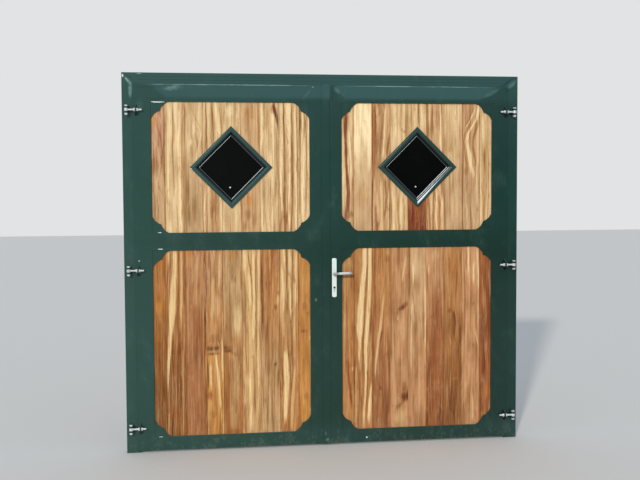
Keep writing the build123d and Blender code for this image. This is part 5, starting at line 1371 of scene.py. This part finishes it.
world = bpy.data.worlds.new("studio")
bpy.context.scene.world = world
world.use_nodes = True
wt = world.node_tree
wt.nodes.clear()
w_out = wt.nodes.new("ShaderNodeOutputWorld")
w_mix = wt.nodes.new("ShaderNodeMixShader")
w_path = wt.nodes.new("ShaderNodeLightPath")
w_seen = wt.nodes.new("ShaderNodeBackground")
w_light = wt.nodes.new("ShaderNodeBackground")
w_seen.inputs[0].default_value = (*lin((226, 227, 228)), 1)
w_co = wt.nodes.new("ShaderNodeTexCoord")
w_sep = wt.nodes.new("ShaderNodeSeparateXYZ")
wt.links.new(w_co.outputs["Generated"], w_sep.inputs[0])
w_ramp = wt.nodes.new("ShaderNodeValToRGB")
wt.links.new(w_sep.outputs[2], w_ramp.inputs[0])
stops = [(0.0, (0.10, 0.105, 0.11)), (0.05, (0.13, 0.14, 0.15)), (0.10, (0.72, 0.88, 1.04)), (0.17, (0.62, 0.73, 0.87)), (0.35, (0.56, 0.65, 0.77)), (1.0, (0.60, 0.68, 0.80))]
ramp = w_ramp.color_ramp
while len(ramp.elements) < len(stops):
    ramp.elements.new(0.5)
for element, (at, colour) in zip(ramp.elements, stops):
    element.position, element.color = at, (*colour, 1)
# a broad soft light low on the left, shade on the right
w_side = wt.nodes.new("ShaderNodeMapRange")
w_side.interpolation_type = "SMOOTHSTEP"
wt.links.new(w_sep.outputs[0], w_side.inputs["Value"])
for key, value in (("From Min", 0.30), ("From Max", -0.12), ("To Min", 0.0), ("To Max", 1.0)):
    w_side.inputs[key].default_value = value
w_low = wt.nodes.new("ShaderNodeMapRange")
wt.links.new(w_sep.outputs[2], w_low.inputs["Value"])
for key, value in (("From Min", 0.11), ("From Max", 0.05), ("To Min", 0.0), ("To Max", 1.0)):
    w_low.inputs[key].default_value = value
w_both = wt.nodes.new("ShaderNodeMath")
w_both.operation = "MULTIPLY"
wt.links.new(w_side.outputs[0], w_both.inputs[0])
wt.links.new(w_low.outputs[0], w_both.inputs[1])
w_box = wt.nodes.new("ShaderNodeMix")
w_box.data_type = "RGBA"
w_box.inputs[7].default_value = (0.48, 0.50, 0.49, 1)
wt.links.new(w_both.outputs[0], w_box.inputs[0])
wt.links.new(w_ramp.outputs[0], w_box.inputs[6])
wt.links.new(w_box.outputs[2], w_light.inputs[0])
w_light.inputs[1].default_value = 0.92
wt.links.new(w_path.outputs["Is Camera Ray"], w_mix.inputs[0])
wt.links.new(w_light.outputs[0], w_mix.inputs[1])
wt.links.new(w_seen.outputs[0], w_mix.inputs[2])
wt.links.new(w_mix.outputs[0], w_out.inputs[0])

sun_data = bpy.data.lights.new("sun", "SUN")
sun_data.energy = 2.25
sun_data.angle = math.radians(3)
sun_data.color = (1.0, 0.965, 0.90)
sun = bpy.data.objects.new("sun", sun_data)
bpy.context.scene.collection.objects.link(sun)
side_angle, height_angle = math.radians(24), math.radians(22)
towards = Vector((-math.sin(side_angle) * math.cos(height_angle), -math.cos(side_angle) * math.cos(height_angle), math.sin(height_angle)))
sun.rotation_euler = towards.to_track_quat("Z", "Y").to_euler()

yaw, pitch, roll = math.radians(7.83), math.radians(3.03), math.radians(-0.30)
forward = Vector((math.sin(yaw) * math.cos(pitch), math.cos(yaw) * math.cos(pitch), -math.sin(pitch)))
flat_right = Vector((math.cos(yaw), -math.sin(yaw), 0))
flat_up = flat_right.cross(forward)
right = math.cos(roll) * flat_right + math.sin(roll) * flat_up
up = -math.sin(roll) * flat_right + math.cos(roll) * flat_up
camera_data = bpy.data.cameras.new("camera")
camera_data.sensor_width, camera_data.lens = 36, 53.28
camera = bpy.data.objects.new("camera", camera_data)
bpy.context.scene.collection.objects.link(camera)
camera.matrix_world = Matrix(
    (
        (right.x, up.x, -forward.x, -0.866),
        (right.y, up.y, -forward.y, -6.037),
        (right.z, up.z, -forward.z, 1.656),
        (0, 0, 0, 1),
    )
)
bpy.context.scene.camera = camera
bpy.context.scene.view_settings.view_transform = "Standard"
